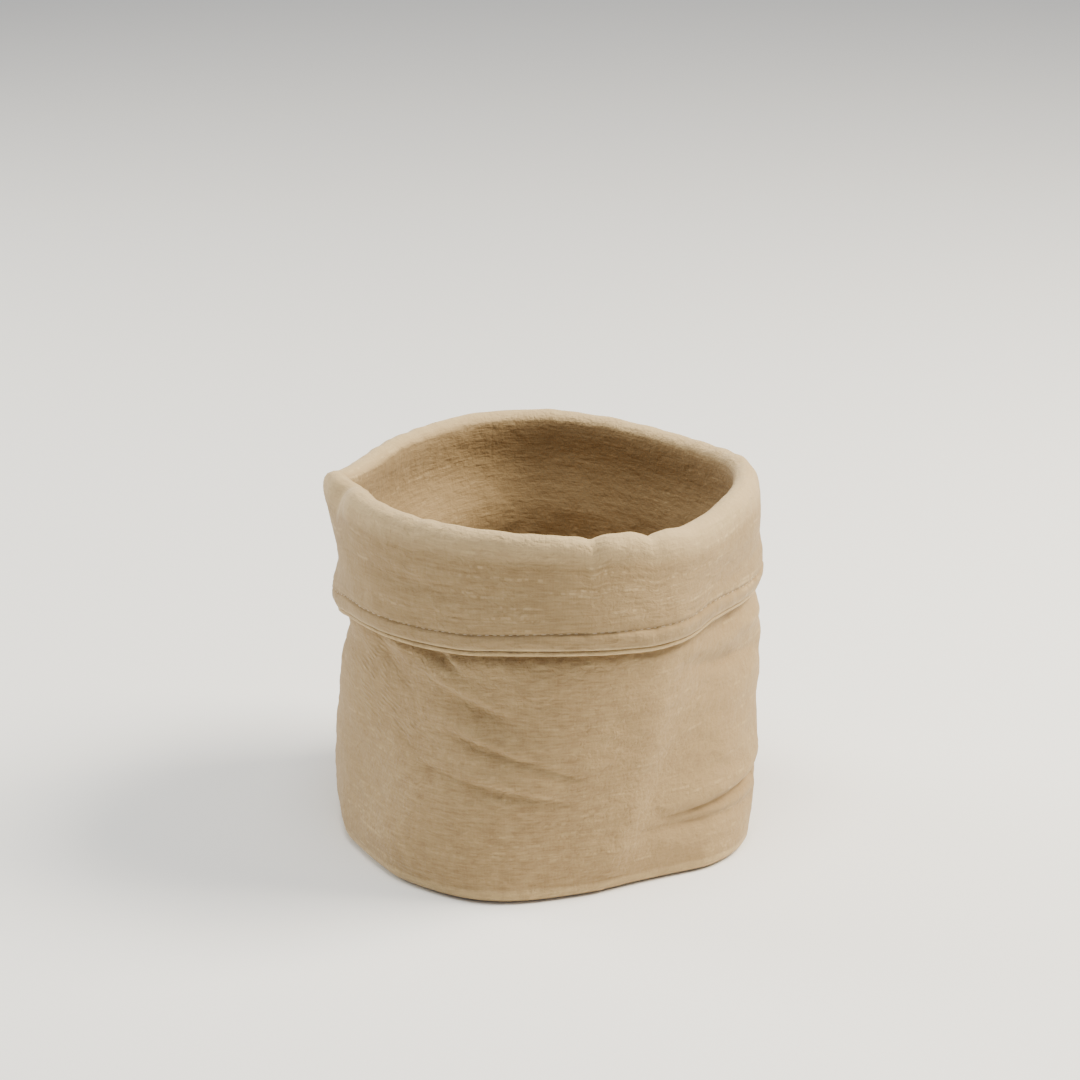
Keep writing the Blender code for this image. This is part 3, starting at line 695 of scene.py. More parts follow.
    def cuff_lift(self, height: np.ndarray) -> np.ndarray:
        """Lift of the cuff's face, with its own ripples, and puckers that its topstitching draws.

        Args:
            height: Heights in millimetres, one for each column.

        Returns:
            Lifts in millimetres.
        """
        above = height - self.hem
        folds = fold_lift(CUFF_FOLDS, self.angle, height)
        ripples = CUFF_BROAD.at(self.angle, height) + CUFF_FINE.at(self.angle, height)
        ripples = ripples * smooth_step(above, *self.ripple_fade)
        puckers = bell(above - self.groove, self.pucker_height) * STITCH_PUCKERS.at(self.angle, height)
        under_rim = smooth_step(height - self.roll_top, *self.gather_fade)
        gathers = under_rim * RIM_GATHERS.at(self.angle, height)
        return self.form_lift(height) + folds + ripples + puckers + gathers

    def band_relief(self, above: np.ndarray) -> np.ndarray:
        """The groove and the crown of the hem band.

        Args:
            above: Heights above the cuff's lowest edge, one for each column.

        Returns:
            Lifts in millimetres.
        """
        groove = -self.groove_depth * bell(above - self.groove, self.groove_width)
        span = np.clip((above - self.lining_edge) / (self.groove - self.lining_edge), 0.0, 1.0)
        return groove + self.band_crown * np.sin(math.pi * span) ** 0.8

    def clearance(self, height: np.ndarray) -> np.ndarray:
        """The space between the wall and the cuff.

        Args:
            height: Heights in millimetres, one for each column.

        Returns:
            Spaces in millimetres.
        """
        down = (self.roll_top - height) / (self.roll_top - self.hem)
        rows = ((0.0, self.roll_space), self.clear_middle, self.clear_band, (1.0, self.clear_hem))
        places, spaces = np.array(rows).T
        return smooth_through(places, spaces, down)

    def seam_distance(self, height: np.ndarray) -> np.ndarray:
        """How far the nearer side seam is along the cloth.

        Args:
            height: Heights in millimetres, one for each column.

        Returns:
            Distances in millimetres, negative on one side of the seam.
        """
        span = np.clip((height - self.seam_hem[1]) / (self.seam_top[1] - self.seam_hem[1]), 0.0, 1.0)
        near = self.seam_hem[0] * np.clip(height / self.seam_hem[1], 0.0, 1.0)
        near = near + (self.seam_top[0] - self.seam_hem[0]) * span
        gaps = [along_cloth(self.angle, seam) for seam in (near, self.far_seam)]
        return np.where(np.abs(gaps[0]) < np.abs(gaps[1]), *gaps)

    def ring(
        self,
        points: np.ndarray,
        part: Part,
        height: np.ndarray,
        hollow: np.ndarray,
        wear_and_highlight: float | np.ndarray = 0.0,
    ) -> Ring:
        """A ring, with what the finish needs to know there worked out.

        Args:
            points: The ring's points in metres.
            part: The part of the bag that it belongs to.
            height: Heights in millimetres, one for each column.
            hollow: Lift of the cloth in millimetres, negative in a hollow.
            wear_and_highlight: How rubbed the cloth is, and its painted highlight, from 0 to 1.

        Returns:
            The ring.
        """
        rubbed_and_lit = np.broadcast_to(np.asarray(wear_and_highlight, dtype=float), (self.columns,))
        seam, gather = self.seam_distance(height), self.gathered(height)
        return Ring(points, part, hollow, rubbed_and_lit, seam, gather, self.rumple)

    def gathered(self, height: np.ndarray) -> np.ndarray:
        """How finely gathered the cloth is.

        Args:
            height: Heights in millimetres, one for each column.

        Returns:
            Shares from 0 to 1.
        """
        total = np.zeros(self.columns)
        for patch in GATHERS:
            along = bell(along_cloth(self.angle, patch.angle), patch.spread_round)
            total = total + along * bell(height - patch.height, patch.spread_up)
        return np.minimum(total, 1.0)


@dataclass(frozen=True)
class WearAndHighlight:
    """How rubbed the cloth is at its folds and edges, with painted highlight on its rim, hem and lip, from
    0 to 1.
    """

    foot: float = 0.5
    # the rim's value is painted highlight that fades down from the crest of the rolled rim
    rim_fade: float = 0.6  # a power: the lower, the farther it spreads from the rim's crest
    # the lining's edge at the hem and the lip: lighter from rubbing and from painted highlight
    hem: float = 0.8
    hem_width: float = 1.2  # millimetres
    lip_edge: float = 0.4
    lip_crest: float = 1.0


@dataclass(frozen=True)
class ClothRows:
    """How finely a cloth is laid out, in rows of faces."""

    base: tuple[float, ...] = (0.06, 0.25, 0.45, 0.65, 0.82, 0.93, 1.0)  # shares of its reach
    edge: int = 5
    wall: int = 78
    hidden_wall: int = 8
    roll: int = 6
    cuff: int = 8
    band: int = 4
    lip: int = 8


@dataclass
class BagCloth:
    """One cloth of the bag, as rings of its middle surface from the base to its edge."""

    form: BagForm
    ply: Ply
    rows: ClothRows
    finish: LinenFinish
    worn_and_lit: WearAndHighlight = WearAndHighlight()
    inside_gather: float = 0.2  # how much of the gathers is left on the lining inside the bag
    inside_rumple: float = 0.5  # how much of the rumple is left there

    def base_rings(self) -> list[Ring]:
        """The flat base and its rounded edge.

        Returns:
            The rings, from the middle outwards.
        """
        form = self.form
        layer = form.layer(self.ply)
        height = np.full(form.columns, form.edge_radius)
        lift = form.form_lift(height)
        edge_reach = form.reach(form.angle, height) + lift - form.edge_radius
        radius = form.edge_radius - layer
        rings = []
        for share in self.rows.base:
            flat = form.point(form.angle, height, share * edge_reach)
            flat[:, 2] = layer * MILLIMETRE
            ring = form.ring(flat, Part.BASE, height, np.zeros(form.columns))
            ring.seam = flat[:, 1] / MILLIMETRE
            rings.append(ring)
        for step in range(1, self.rows.edge + 1):
            bend = math.radians(90.0 * step / self.rows.edge)
            curved = form.point(form.angle, height, edge_reach + radius * math.sin(bend))
            curved[:, 2] = (form.edge_radius - radius * math.cos(bend)) * MILLIMETRE
            rings.append(form.ring(curved, Part.WALL, height, np.zeros(form.columns), self.worn_and_lit.foot))
        return rings

    def wall_rings(self) -> list[Ring]:
        """The wall, from the base's edge to the rolled rim.

        Returns:
            The rings, from the lowest up.
        """
        form = self.form
        stop = form.hem + form.wall_stop
        heights = self.levels(form.edge_radius, stop, self.rows.wall)
        heights += self.levels(stop, form.roll_top, self.rows.hidden_wall)
        rings = []
        for height in heights:
            if self.ply is Ply.OUTER:
                lift, inward = form.wall_lift(height), form.cloth / 2.0
            else:
                lift, inward = self.slack(height)
            reach = form.reach(form.angle, height) + lift
            points = form.point(form.angle, height, reach - inward * form.slant(reach))
            rings.append(form.ring(points, Part.WALL, height, lift - form.form_lift(height)))
        return rings

    @staticmethod
    def levels(start: np.ndarray | float, stop: np.ndarray, rows: int) -> list[np.ndarray]:
        """Heights in even steps from a line to another.

        Args:
            start: The first line, which is left out.
            stop: The last line, which is kept.
            rows: How many steps lie between them.

        Returns:
            Heights in millimetres, one for each column in each step.
        """
        return [start + (stop - start) * row / rows for row in range(1, rows + 1)]

    def slack(self, height: np.ndarray) -> tuple[np.ndarray, np.ndarray]:
        """Lift and distance inward of the lining, which hangs loose inside the outer bag.

        Args:
            height: Heights in millimetres, one for each column.

        Returns:
            The lift, and how far inside the outer bag's face the lining's middle lies.
        """
        form = self.form
        apart = smooth_step(height, *form.slack_fade)
        hang = LINING_HANG.at(form.angle, height) + LINING_CREASES.at(form.angle, height)
        hang = hang * apart * smooth_step(height, *form.hang_fade)
        lift = form.inner_lift(height) * (1.0 - apart) + hang
        inward = form.ply + form.cloth / 2.0 + form.lining_slack * apart
        room = form.wall_lift(height) - form.ply_gap - form.cloth * 1.5
        inward = np.maximum(inward, lift - room)
        return lift, inward

    def roll_rings(self) -> list[Ring]:
        """The rim, rolled outwards over its clear space and down on to the cuff.

        The clear space is half an oval inside and half a longer one outside, and the cloth lies
        its layer off it all round.

        Returns:
            The rings, from the wall to the cuff.
        """
        form = self.form
        layer = form.layer(self.ply)
        middle = form.roll_top
        inner = form.reach(form.angle, middle) + form.inner_lift(middle)
        crest = (inner + self.face_reach(middle, 0.0)) / 2.0
        rings = []
        for step in range(1, self.rows.roll + 1):
            bend = math.radians(180.0 * step / self.rows.roll)
            outside = bend > math.pi / 2.0
            drop = form.shoulder if outside else 0.0
            tall = form.roll_space / 2.0 + drop
            height = middle - drop * (1.0 - math.sin(bend))
            wide = self.face_reach(height, 0.0) - crest if outside else crest - inner
            across, up = -math.cos(bend) / wide, math.sin(bend) / tall
            off = layer / np.hypot(across, up)
            reach = crest - wide * math.cos(bend)
            curved = form.point(form.angle, height, reach + off * across * form.slant(reach))
            curved[:, 2] = (middle - drop + tall * math.sin(bend) + off * up) * MILLIMETRE
            hollow = form.cuff_lift(height) - form.form_lift(height)
            # painted highlight where the rolled rim faces up to the light, carried as wear
            rubbed_and_lit = max(math.sin(bend), 0.0) ** self.worn_and_lit.rim_fade
            rings.append(form.ring(curved, Part.CUFF, height, hollow, rubbed_and_lit))
        return rings

    def face_reach(self, height: np.ndarray, layer: float) -> np.ndarray:
        """How far a layer reaches on the cuff's face, without groove and band.

        Args:
            height: Heights in millimetres, one for each column.
            layer: How far the layer lies off the shared surface.

        Returns:
            Distances in millimetres.
        """
        form = self.form
        reach = form.reach(form.angle, height) + form.cuff_lift(height) + form.clearance(height)
        return reach + layer * form.slant(reach)

    def cuff_rings(self) -> list[Ring]:
        """The turned-down cuff as far as the lining's edge, with its groove and hem band.

        Returns:
            The rings, from the rim down.
        """
        form = self.form
        band_top = form.hem + form.groove + form.band_space
        heights = self.levels(form.roll_top - form.shoulder, band_top, self.rows.cuff)
        heights += self.levels(band_top, form.hem + form.lining_edge, self.rows.band)
        rings = []
        for height in heights:
            above = height - form.hem
            relief = form.band_relief(above)
            if self.ply is Ply.OUTER:
                relief -= form.ease * bell(above - form.groove, form.ease_width)
            reach = self.face_reach(height, form.layer(self.ply)) + relief
            points = form.point(form.angle, height, reach)
            # lighter at the lining's edge, from rubbing and from painted highlight
            wear_and_highlight = bell(above - form.lining_edge, self.worn_and_lit.hem_width) * self.worn_and_lit.hem
            hollow = form.cuff_lift(height) + relief - form.form_lift(height)
            rings.append(form.ring(points, Part.CUFF, height, hollow, wear_and_highlight))
        return rings

    def lip_rings(self) -> list[Ring]:
        """The outer bag's edge, rolled out from behind the lining's edge and up to it.

        Returns:
            The rings, from behind the lining's edge outwards.
        """
        form = self.form
        radius = form.ply / 2.0
        bend_height = form.hem + radius + form.cloth / 2.0
        face = form.reach(form.angle, bend_height) + form.cuff_lift(bend_height) + form.clear_hem
        reach = face + (form.cloth / 2.0 + radius) * form.slant(face)
        hollow = np.zeros(form.columns)
        # the lip is lighter from rubbing and from painted highlight, most on its crest
        edge, crest = self.worn_and_lit.lip_edge, self.worn_and_lit.lip_crest
        rings = []
        for step in range(self.rows.lip + 1):
            bend = math.radians(180.0 * step / self.rows.lip)
            curved = form.point(form.angle, bend_height, reach - radius * math.cos(bend))
            curved[:, 2] -= radius * math.sin(bend) * MILLIMETRE
            wear_and_highlight = edge + (crest - edge) * math.sin(bend)
            rings.append(form.ring(curved, Part.CUFF, bend_height, hollow, wear_and_highlight))
        top = form.hem + form.lip_height
        face = form.reach(form.angle, top) + form.cuff_lift(top) + form.clear_hem
        reach = face + (form.cloth / 2.0 + 2.0 * radius) * form.slant(face)
        rings.append(form.ring(form.point(form.angle, top, reach), Part.CUFF, top, hollow, edge))
        return rings

    def rings(self) -> list[Ring]:
        """Every ring of the cloth.

        Returns:
            The rings, from the middle of the base to the cloth's edge.
        """
        rings = self.base_rings() + self.wall_rings() + self.roll_rings() + self.cuff_rings()
        if self.ply is Ply.OUTER:
            rings += self.lip_rings()
        return rings

    def build(self, name: str) -> bpy.types.Object:
        """Make the cloth as an object of its real thickness.

        Args:
            name: The piece's name.

        Returns:
            The cloth, at the origin, with its place in its mesh.
        """
        piece = bpy.data.objects.new(name, self.surface(name, self.rings()))
        bpy.context.scene.collection.objects.link(piece)
        thicken = piece.modifiers.new("Cloth thickness", "SOLIDIFY")
        thicken.thickness = self.form.cloth * MILLIMETRE
        thicken.offset = 0.0
        thicken.use_even_offset = True
        piece.data.materials.append(self.finish.material())
        return piece

    def settled(self, ring: Ring) -> Ring:
        """A ring with fewer creases where it is the lining inside the bag.

        Args:
            ring: The ring.

        Returns:
            The ring, calmer on the lining's base and wall and the same elsewhere.
        """
        if self.ply is Ply.OUTER or ring.part is Part.CUFF:
            return ring
        gather, rumple = ring.gather * self.inside_gather, ring.rumple * self.inside_rumple
        return replace(ring, gather=gather, rumple=rumple)

    def surface(self, name: str, rings: list[Ring]) -> bpy.types.Mesh:
        """An open surface through the rings, closed by a fan over the first one.

        Args:
            name: The mesh's name.
            rings: The rings, all of the same count of points.

        Returns:
            A smooth mesh with a map of the cloth in metres, and with each ring's hollow,
            wear with painted highlight, seam, gather and rumple values on its points.
        """
        count = self.form.columns
        grid = np.stack([ring.points for ring in rings])
        middle = grid[0].mean(axis=0)
        points = np.concatenate((grid.reshape(-1, 3), middle[None, :]))
        here = np.arange(count)
        following = (here + 1) % count
        faces = []
        for row in range(len(rings) - 1):
            low, high = row * count, (row + 1) * count
            faces.append(np.stack((low + here, low + following, high + following, high + here), axis=1))
        quads = np.concatenate(faces)
        fan = np.stack((np.full(count, len(points) - 1), following, here), axis=1)
        mesh = bpy.data.meshes.new(name)
        mesh.from_pydata(points.tolist(), [], quads.tolist() + fan.tolist())
        mesh.shade_smooth()
        layer = mesh.uv_layers.new(name=CLOTH_MAP)
        layer.uv.foreach_set("vector", self.cloth_map(grid, rings).astype(np.float32).ravel())
        settled = [self.settled(ring) for ring in rings]
        for title in RING_VALUES:
            values = np.concatenate([getattr(ring, title) for ring in settled] + [np.zeros(1)])
            attribute = mesh.attributes.new(title, "FLOAT", "POINT")
            attribute.data.foreach_set("value", values.astype(np.float32))
        return mesh

    def cloth_map(self, grid: np.ndarray, rings: list[Ring]) -> np.ndarray:
        """Where the corners of the faces lie on the flat cloth.

        The base is mapped as it lies, and the rest by its angle and by its way up from the base.

        Args:
            grid: The rings' points, as rings by columns by three.
            rings: The rings.

        Returns:
            Places in metres, in the order of the mesh's corners.
        """
        count = self.form.columns
        following = (np.arange(count) + 1) % count
        steps = np.linalg.norm(np.diff(grid, axis=0), axis=2).mean(axis=1)
        run = np.concatenate(([0.0], np.cumsum(steps)))
        arc = np.radians(np.append(self.form.angle, 180.0)) * CLOTH_RADIUS * MILLIMETRE
        maps = []
        for row in range(len(rings) - 1):
            if rings[row + 1].part is Part.BASE:
                low, high = grid[row][:, :2], grid[row + 1][:, :2]
                corners = (low, low[following], high[following], high)
            else:
                lows, highs = np.full(count, run[row]), np.full(count, run[row + 1])
                corners = (
                    np.stack((arc[:-1], lows), axis=1),
                    np.stack((arc[1:], lows), axis=1),
                    np.stack((arc[1:], highs), axis=1),
                    np.stack((arc[:-1], highs), axis=1),
                )
            maps.append(np.stack(corners, axis=1).reshape(-1, 2))
        first = grid[0][:, :2]
        centre = np.broadcast_to(grid[0].mean(axis=0)[:2], first.shape)
        maps.append(np.stack((centre, first[following], first), axis=1).reshape(-1, 2))
        return np.concatenate(maps)


# ----------------------------------------------------------------------------------------------
# Finishes
# ----------------------------------------------------------------------------------------------

Value = bpy.types.NodeSocket | float | tuple
ORIGIN = (0.0, 0.0, 0.0)


class NodeDesk:
    """Adds nodes to one tree and joins them."""

    def __init__(self, tree: bpy.types.NodeTree) -> None:
        """Work in a tree."""
        self.tree = tree

    def feed(self, socket: bpy.types.NodeSocket, value: Value) -> None:
        """Link a socket to another, or set its value.

        Args:
            socket: The input socket.
            value: The output socket to link, or the value to set.
        """
        if isinstance(value, bpy.types.NodeSocket):
            self.tree.links.new(value, socket)
        else:
            socket.default_value = value

    def add(self, kind: str, feeds: dict | None = None, **settings: object) -> bpy.types.Node:
        """Add a node.

        Args:
            kind: Blender's name for the node.
            feeds: What each input gets, by its name or its number.
            **settings: The node's own settings.

        Returns:
            The node.
        """
        node = self.tree.nodes.new(kind)
        for name, value in settings.items():
            setattr(node, name, value)
        for key, value in (feeds or {}).items():
            self.feed(node.inputs[key], value)
        return node

    def math(self, operation: str, *values: Value, clamp: bool = False) -> bpy.types.NodeSocket:
        """One step of arithmetic."""
        feeds = dict(enumerate(values))
        return self.add("ShaderNodeMath", feeds, operation=operation, use_clamp=clamp).outputs[0]

    def vector(self, operation: str, *values: Value) -> bpy.types.NodeSocket:
        """One step of vector arithmetic."""
        return self.add("ShaderNodeVectorMath", dict(enumerate(values)), operation=operation).outputs[0]

    def noise(
        self, place: Value, scale: Value, detail: float = 2.0, rough: float = 0.5
    ) -> bpy.types.NodeSocket:
        """Smooth noise from 0 to 1."""
        feeds = {"Vector": place, "Scale": scale, "Detail": detail, "Roughness": rough}
        return self.add("ShaderNodeTexNoise", feeds).outputs[0]

    def spread(self, value: Value, low: Value, high: Value) -> bpy.types.NodeSocket:
        """Map a range smoothly onto 0 to 1, without passing its ends."""
        feeds = {0: value, 1: low, 2: high}
        return self.add("ShaderNodeMapRange", feeds, interpolation_type="SMOOTHSTEP").outputs[0]

    def mix(self, share: Value, first: Value, second: Value, blend: str = "MIX") -> bpy.types.NodeSocket:
        """Mix two colours."""
        feeds = {0: share, 6: first, 7: second}
        return self.add("ShaderNodeMix", feeds, data_type="RGBA", blend_type=blend).outputs[2]

    def attribute(self, name: str) -> bpy.types.NodeSocket:
        """A value kept on the piece's points."""
        return self.add("ShaderNodeAttribute", attribute_name=name).outputs["Fac"]


GroupStart = tuple[NodeDesk, bpy.types.Node, bpy.types.Node]


class ClothGroups:
    """The shader node groups that the finishes share, each made once."""

    @staticmethod
    def start(
        name: str, takes: dict[str, float | tuple[float, float, float]], gives: tuple[str, ...]
    ) -> GroupStart | None:
        """Start a group.

        Args:
            name: The group's name.
            takes: Its inputs, each with its first value, a number or a place.
            gives: Its outputs, all numbers.

        Returns:
            The desk and the group's two end nodes, or None where the group is there already.
        """
        if name in bpy.data.node_groups:
            return None
        tree = bpy.data.node_groups.new(name, "ShaderNodeTree")
        for title, value in takes.items():
            kind = "NodeSocketVector" if isinstance(value, tuple) else "NodeSocketFloat"
            socket = tree.interface.new_socket(title, in_out="INPUT", socket_type=kind)
            socket.default_value = value
        for title in gives:
            tree.interface.new_socket(title, in_out="OUTPUT", socket_type="NodeSocketFloat")
        desk = NodeDesk(tree)
        return desk, desk.add("NodeGroupInput"), desk.add("NodeGroupOutput")

    @classmethod
    def weave(cls) -> bpy.types.NodeTree:
        """Plain weave: its height, and how each thread differs from its neighbours.

        Returns:
            The group.
        """
        name = "Plain weave"
        takes = {"Cloth": ORIGIN, "Pitch": 0.0008, "Wander": 0.5}
        begun = cls.start(name, takes, ("Height", "Thread"))
        if begun is None:
            return bpy.data.node_groups[name]
        desk, given, out = begun
        uneven = desk.noise(given.outputs["Cloth"], scale=260.0, rough=0.6)
        sway = desk.math("MULTIPLY", desk.math("SUBTRACT", uneven, 0.5), given.outputs["Wander"])
        threads = desk.vector("SCALE", given.outputs["Cloth"])
        scale = threads.node
        desk.feed(scale.inputs["Scale"], desk.math("DIVIDE", 1.0, given.outputs["Pitch"]))
        split = desk.add("ShaderNodeSeparateXYZ", {0: threads})
        across = desk.math("ADD", split.outputs[0], sway)
        along = desk.math("ADD", split.outputs[1], desk.math("MULTIPLY", sway, 1.3))
        warp = desk.math("SINE", desk.math("MULTIPLY", across, math.pi))
        weft = desk.math("SINE", desk.math("MULTIPLY", along, math.pi))
        over = desk.math("MULTIPLY", warp, weft)
        warp_height = desk.math("ADD", desk.math("ABSOLUTE", warp), over)
        weft_height = desk.math("SUBTRACT", desk.math("ABSOLUTE", weft), over)
        height = desk.math("MULTIPLY", desk.math("MAXIMUM", warp_height, weft_height), 0.5)
        on_top = desk.math("GREATER_THAN", weft_height, warp_height)
        row = desk.math("MULTIPLY", desk.math("FLOOR", along), 3.71)
        column = desk.math("MULTIPLY", desk.math("FLOOR", across), 5.17)
        by_weft = desk.math("MULTIPLY", split.outputs[0], 0.06)
        by_warp = desk.math("MULTIPLY", split.outputs[1], 0.06)
        long_row = desk.add("ShaderNodeCombineXYZ", {0: by_weft, 1: row})
        long_column = desk.add("ShaderNodeCombineXYZ", {0: column, 1: by_warp})
        by_row = desk.noise(long_row.outputs[0], scale=1.0, detail=1.0)
        by_column = desk.noise(long_column.outputs[0], scale=1.0, detail=1.0)
        both = desk.add("ShaderNodeMix", {0: on_top, 2: by_column, 3: by_row}, data_type="FLOAT")
        desk.feed(out.inputs["Height"], height)
        desk.feed(out.inputs["Thread"], both.outputs[0])
        return desk.tree

    @classmethod
    def slubs(cls) -> bpy.types.NodeTree:
        """Slubs: the thick short stretches of the weft yarn, in broken rows.

        Returns:
            The group.
        """
        name = "Weft slubs"
        takes = {"Cloth": ORIGIN, "Spacing": 0.0012, "Length": 0.006, "Amount": 0.5}
        begun = cls.start(name, takes, ("Slub",))
        if begun is None:
            return bpy.data.node_groups[name]
        desk, given, out = begun
        split = desk.add("ShaderNodeSeparateXYZ", {0: given.outputs["Cloth"]})
        waver = desk.math("SUBTRACT", desk.noise(given.outputs["Cloth"], scale=120.0), 0.5)
        sway = desk.math("MULTIPLY", waver, 0.7)
        rows = desk.math("ADD", desk.math("DIVIDE", split.outputs[1], given.outputs["Spacing"]), sway)
        index = desk.math("FLOOR", rows)
        across = desk.math("ABSOLUTE", desk.math("SINE", desk.math("MULTIPLY", rows, math.pi)))
        runs = desk.math("DIVIDE", split.outputs[0], given.outputs["Length"])
        place = desk.add("ShaderNodeCombineXYZ", {0: runs, 1: desk.math("MULTIPLY", index, 7.31)})
        dashes = desk.noise(place.outputs[0], scale=1.0, detail=1.0)
        dashes = desk.spread(dashes, low=0.44, high=0.60)
        far = desk.add(
            "ShaderNodeCombineXYZ",
            {0: desk.math("MULTIPLY", runs, 0.08), 1: desk.math("MULTIPLY", index, 3.17), 2: 9.0},
        )
        patch = desk.noise(given.outputs["Cloth"], scale=30.0, detail=1.0)
        chance = desk.noise(far.outputs[0], scale=1.0, detail=1.0)
        wanted = desk.math("MULTIPLY_ADD", desk.math("SUBTRACT", patch, 0.5), 0.5, chance)
        bar = desk.math("SUBTRACT", 0.66, desk.math("MULTIPLY", given.outputs["Amount"], 0.14))
        dash = desk.math("MULTIPLY", dashes, desk.spread(wanted, bar, desk.math("ADD", bar, 0.12)))
        desk.feed(out.inputs["Slub"], desk.math("MULTIPLY", dash, desk.math("POWER", across, 0.7)))
        return desk.tree

    @classmethod
    def yarn(cls) -> bpy.types.NodeTree:
        """Uneven yarn: streaks along the weft, and fainter ones along the warp, from 0 to 1.

        Returns:
            The group.
        """
        name = "Uneven yarn"
        begun = cls.start(name, {"Cloth": ORIGIN, "Thickness": 0.0015, "Length": 0.03}, ("Streak",))
        if begun is None:
            return bpy.data.node_groups[name]
        desk, given, out = begun
        split = desk.add("ShaderNodeSeparateXYZ", {0: given.outputs["Cloth"]})
        thin, long = given.outputs["Thickness"], given.outputs["Length"]
        weft = desk.add(
            "ShaderNodeCombineXYZ",
            {
                0: desk.math("DIVIDE", split.outputs[0], long),
                1: desk.math("DIVIDE", split.outputs[1], thin),
            },
        )
        warp = desk.add(
            "ShaderNodeCombineXYZ",
            {
                0: desk.math("DIVIDE", split.outputs[0], thin),
                1: desk.math("DIVIDE", split.outputs[1], long),
                2: 4.0,
            },
        )
        rows = desk.noise(weft.outputs[0], scale=1.0, detail=3.0, rough=0.6)
        columns = desk.noise(warp.outputs[0], scale=1.0)
        streak = desk.math("MULTIPLY_ADD", desk.math("SUBTRACT", columns, 0.5), 0.14, rows)
        desk.feed(out.inputs["Streak"], streak)
        return desk.tree

    @classmethod
    def crumple(cls) -> bpy.types.NodeTree:
        """Small soft creases that a washed cloth keeps: a height.

        Returns:
            The group.
        """
        name = "Washed creases"
        begun = cls.start(name, {"Cloth": ORIGIN, "Size": 0.006}, ("Height",))
        if begun is None:
            return bpy.data.node_groups[name]
        desk, given, out = begun
        fine = desk.math("DIVIDE", 1.0, given.outputs["Size"])
        bent = desk.noise(given.outputs["Cloth"], scale=desk.math("MULTIPLY", fine, 0.5), detail=1.0)
        lean = desk.add("ShaderNodeCombineXYZ", {0: desk.math("MULTIPLY", bent, 0.004), 1: 0.0})
        place = desk.vector("ADD", given.outputs["Cloth"], lean.outputs[0])
        relief = desk.noise(place, scale=fine, detail=3.0, rough=0.45)
        desk.feed(out.inputs["Height"], relief)
        return desk.tree

    @classmethod
    def gathers(cls) -> bpy.types.NodeTree:
        """Fine slanting gathers, broken and uneven: a height from 0 to 1.

        Returns:
            The group.
        """
        name = "Fine gathers"
        begun = cls.start(name, {"Cloth": ORIGIN, "Spacing": 0.0033}, ("Height",))
        if begun is None:
            return bpy.data.node_groups[name]
        desk, given, out = begun
        split = desk.add("ShaderNodeSeparateXYZ", {0: given.outputs["Cloth"]})
        upwards = desk.math("MULTIPLY", split.outputs[1], 0.89)
        slant = desk.math("MULTIPLY_ADD", split.outputs[0], 0.45, upwards)
        sway = desk.noise(given.outputs["Cloth"], scale=60.0, detail=1.0)
        sway = desk.math("MULTIPLY", sway, 0.0030)
        phase = desk.math("DIVIDE", desk.math("ADD", slant, sway), given.outputs["Spacing"])
        swing = desk.math("SINE", desk.math("MULTIPLY", phase, 2.0 * math.pi))
        wave = desk.math("MULTIPLY_ADD", swing, 0.5, 0.5)
        broken = desk.noise(given.outputs["Cloth"], scale=130.0, detail=1.0)
        broken = desk.spread(broken, low=0.42, high=0.6)
        desk.feed(out.inputs["Height"], desk.math("MULTIPLY", desk.math("POWER", wave, 1.6), broken))
        return desk.tree

    @classmethod
    def mottle(cls) -> bpy.types.NodeTree:
        """Uneven shade, from broad clouds to specks: from -1 to 1.

        Returns:
            The group.
        """
        name = "Uneven shade"
        begun = cls.start(name, {"Place": ORIGIN, "Size": 0.04}, ("Shade",))
        if begun is None:
            return bpy.data.node_groups[name]
        desk, given, out = begun
        scale = desk.math("DIVIDE", 1.0, given.outputs["Size"])
        clouds = desk.noise(given.outputs["Place"], scale, detail=5.0, rough=0.62)
        desk.feed(out.inputs["Shade"], desk.math("MULTIPLY", desk.math("SUBTRACT", clouds, 0.5), 3.2))
        return desk.tree

    @classmethod
    def seam(cls) -> bpy.types.NodeTree:
        """A closed seam: a narrow groove beside a low ridge, by the distance from it.

        Returns:
            The group.
        """
        name = "Closed seam"
        begun = cls.start(name, {"Distance": 99.0, "Width": 0.7}, ("Height", "Groove"))
        if begun is None:
            return bpy.data.node_groups[name]
        desk, given, out = begun
        away = desk.math("DIVIDE", given.outputs["Distance"], given.outputs["Width"])
        groove = desk.math("EXPONENT", desk.math("MULTIPLY", desk.math("MULTIPLY", away, away), -1.0))
        aside = desk.math("SUBTRACT", away, 3.2)
        ridge = desk.math("EXPONENT", desk.math("MULTIPLY", desk.math("MULTIPLY", aside, aside), -0.22))
        desk.feed(out.inputs["Height"], desk.math("SUBTRACT", desk.math("MULTIPLY", ridge, 0.45), groove))
        desk.feed(out.inputs["Groove"], groove)
        return desk.tree


Outputs = bpy.types.bpy_prop_collection


@dataclass(frozen=True)
class LinenPattern:
    """What the linen's colour and relief are mixed from."""

    weave: Outputs
    slubs: Outputs
    yarn: Outputs
    ribs: Outputs
    creases: Outputs
    pebbles: Outputs
    gathers: Outputs
    clouds: Outputs
    specks: Outputs
    seam: Outputs
    hollow: bpy.types.NodeSocket
    wear_and_highlight: bpy.types.NodeSocket
    gather: bpy.types.NodeSocket
    rumple: bpy.types.NodeSocket


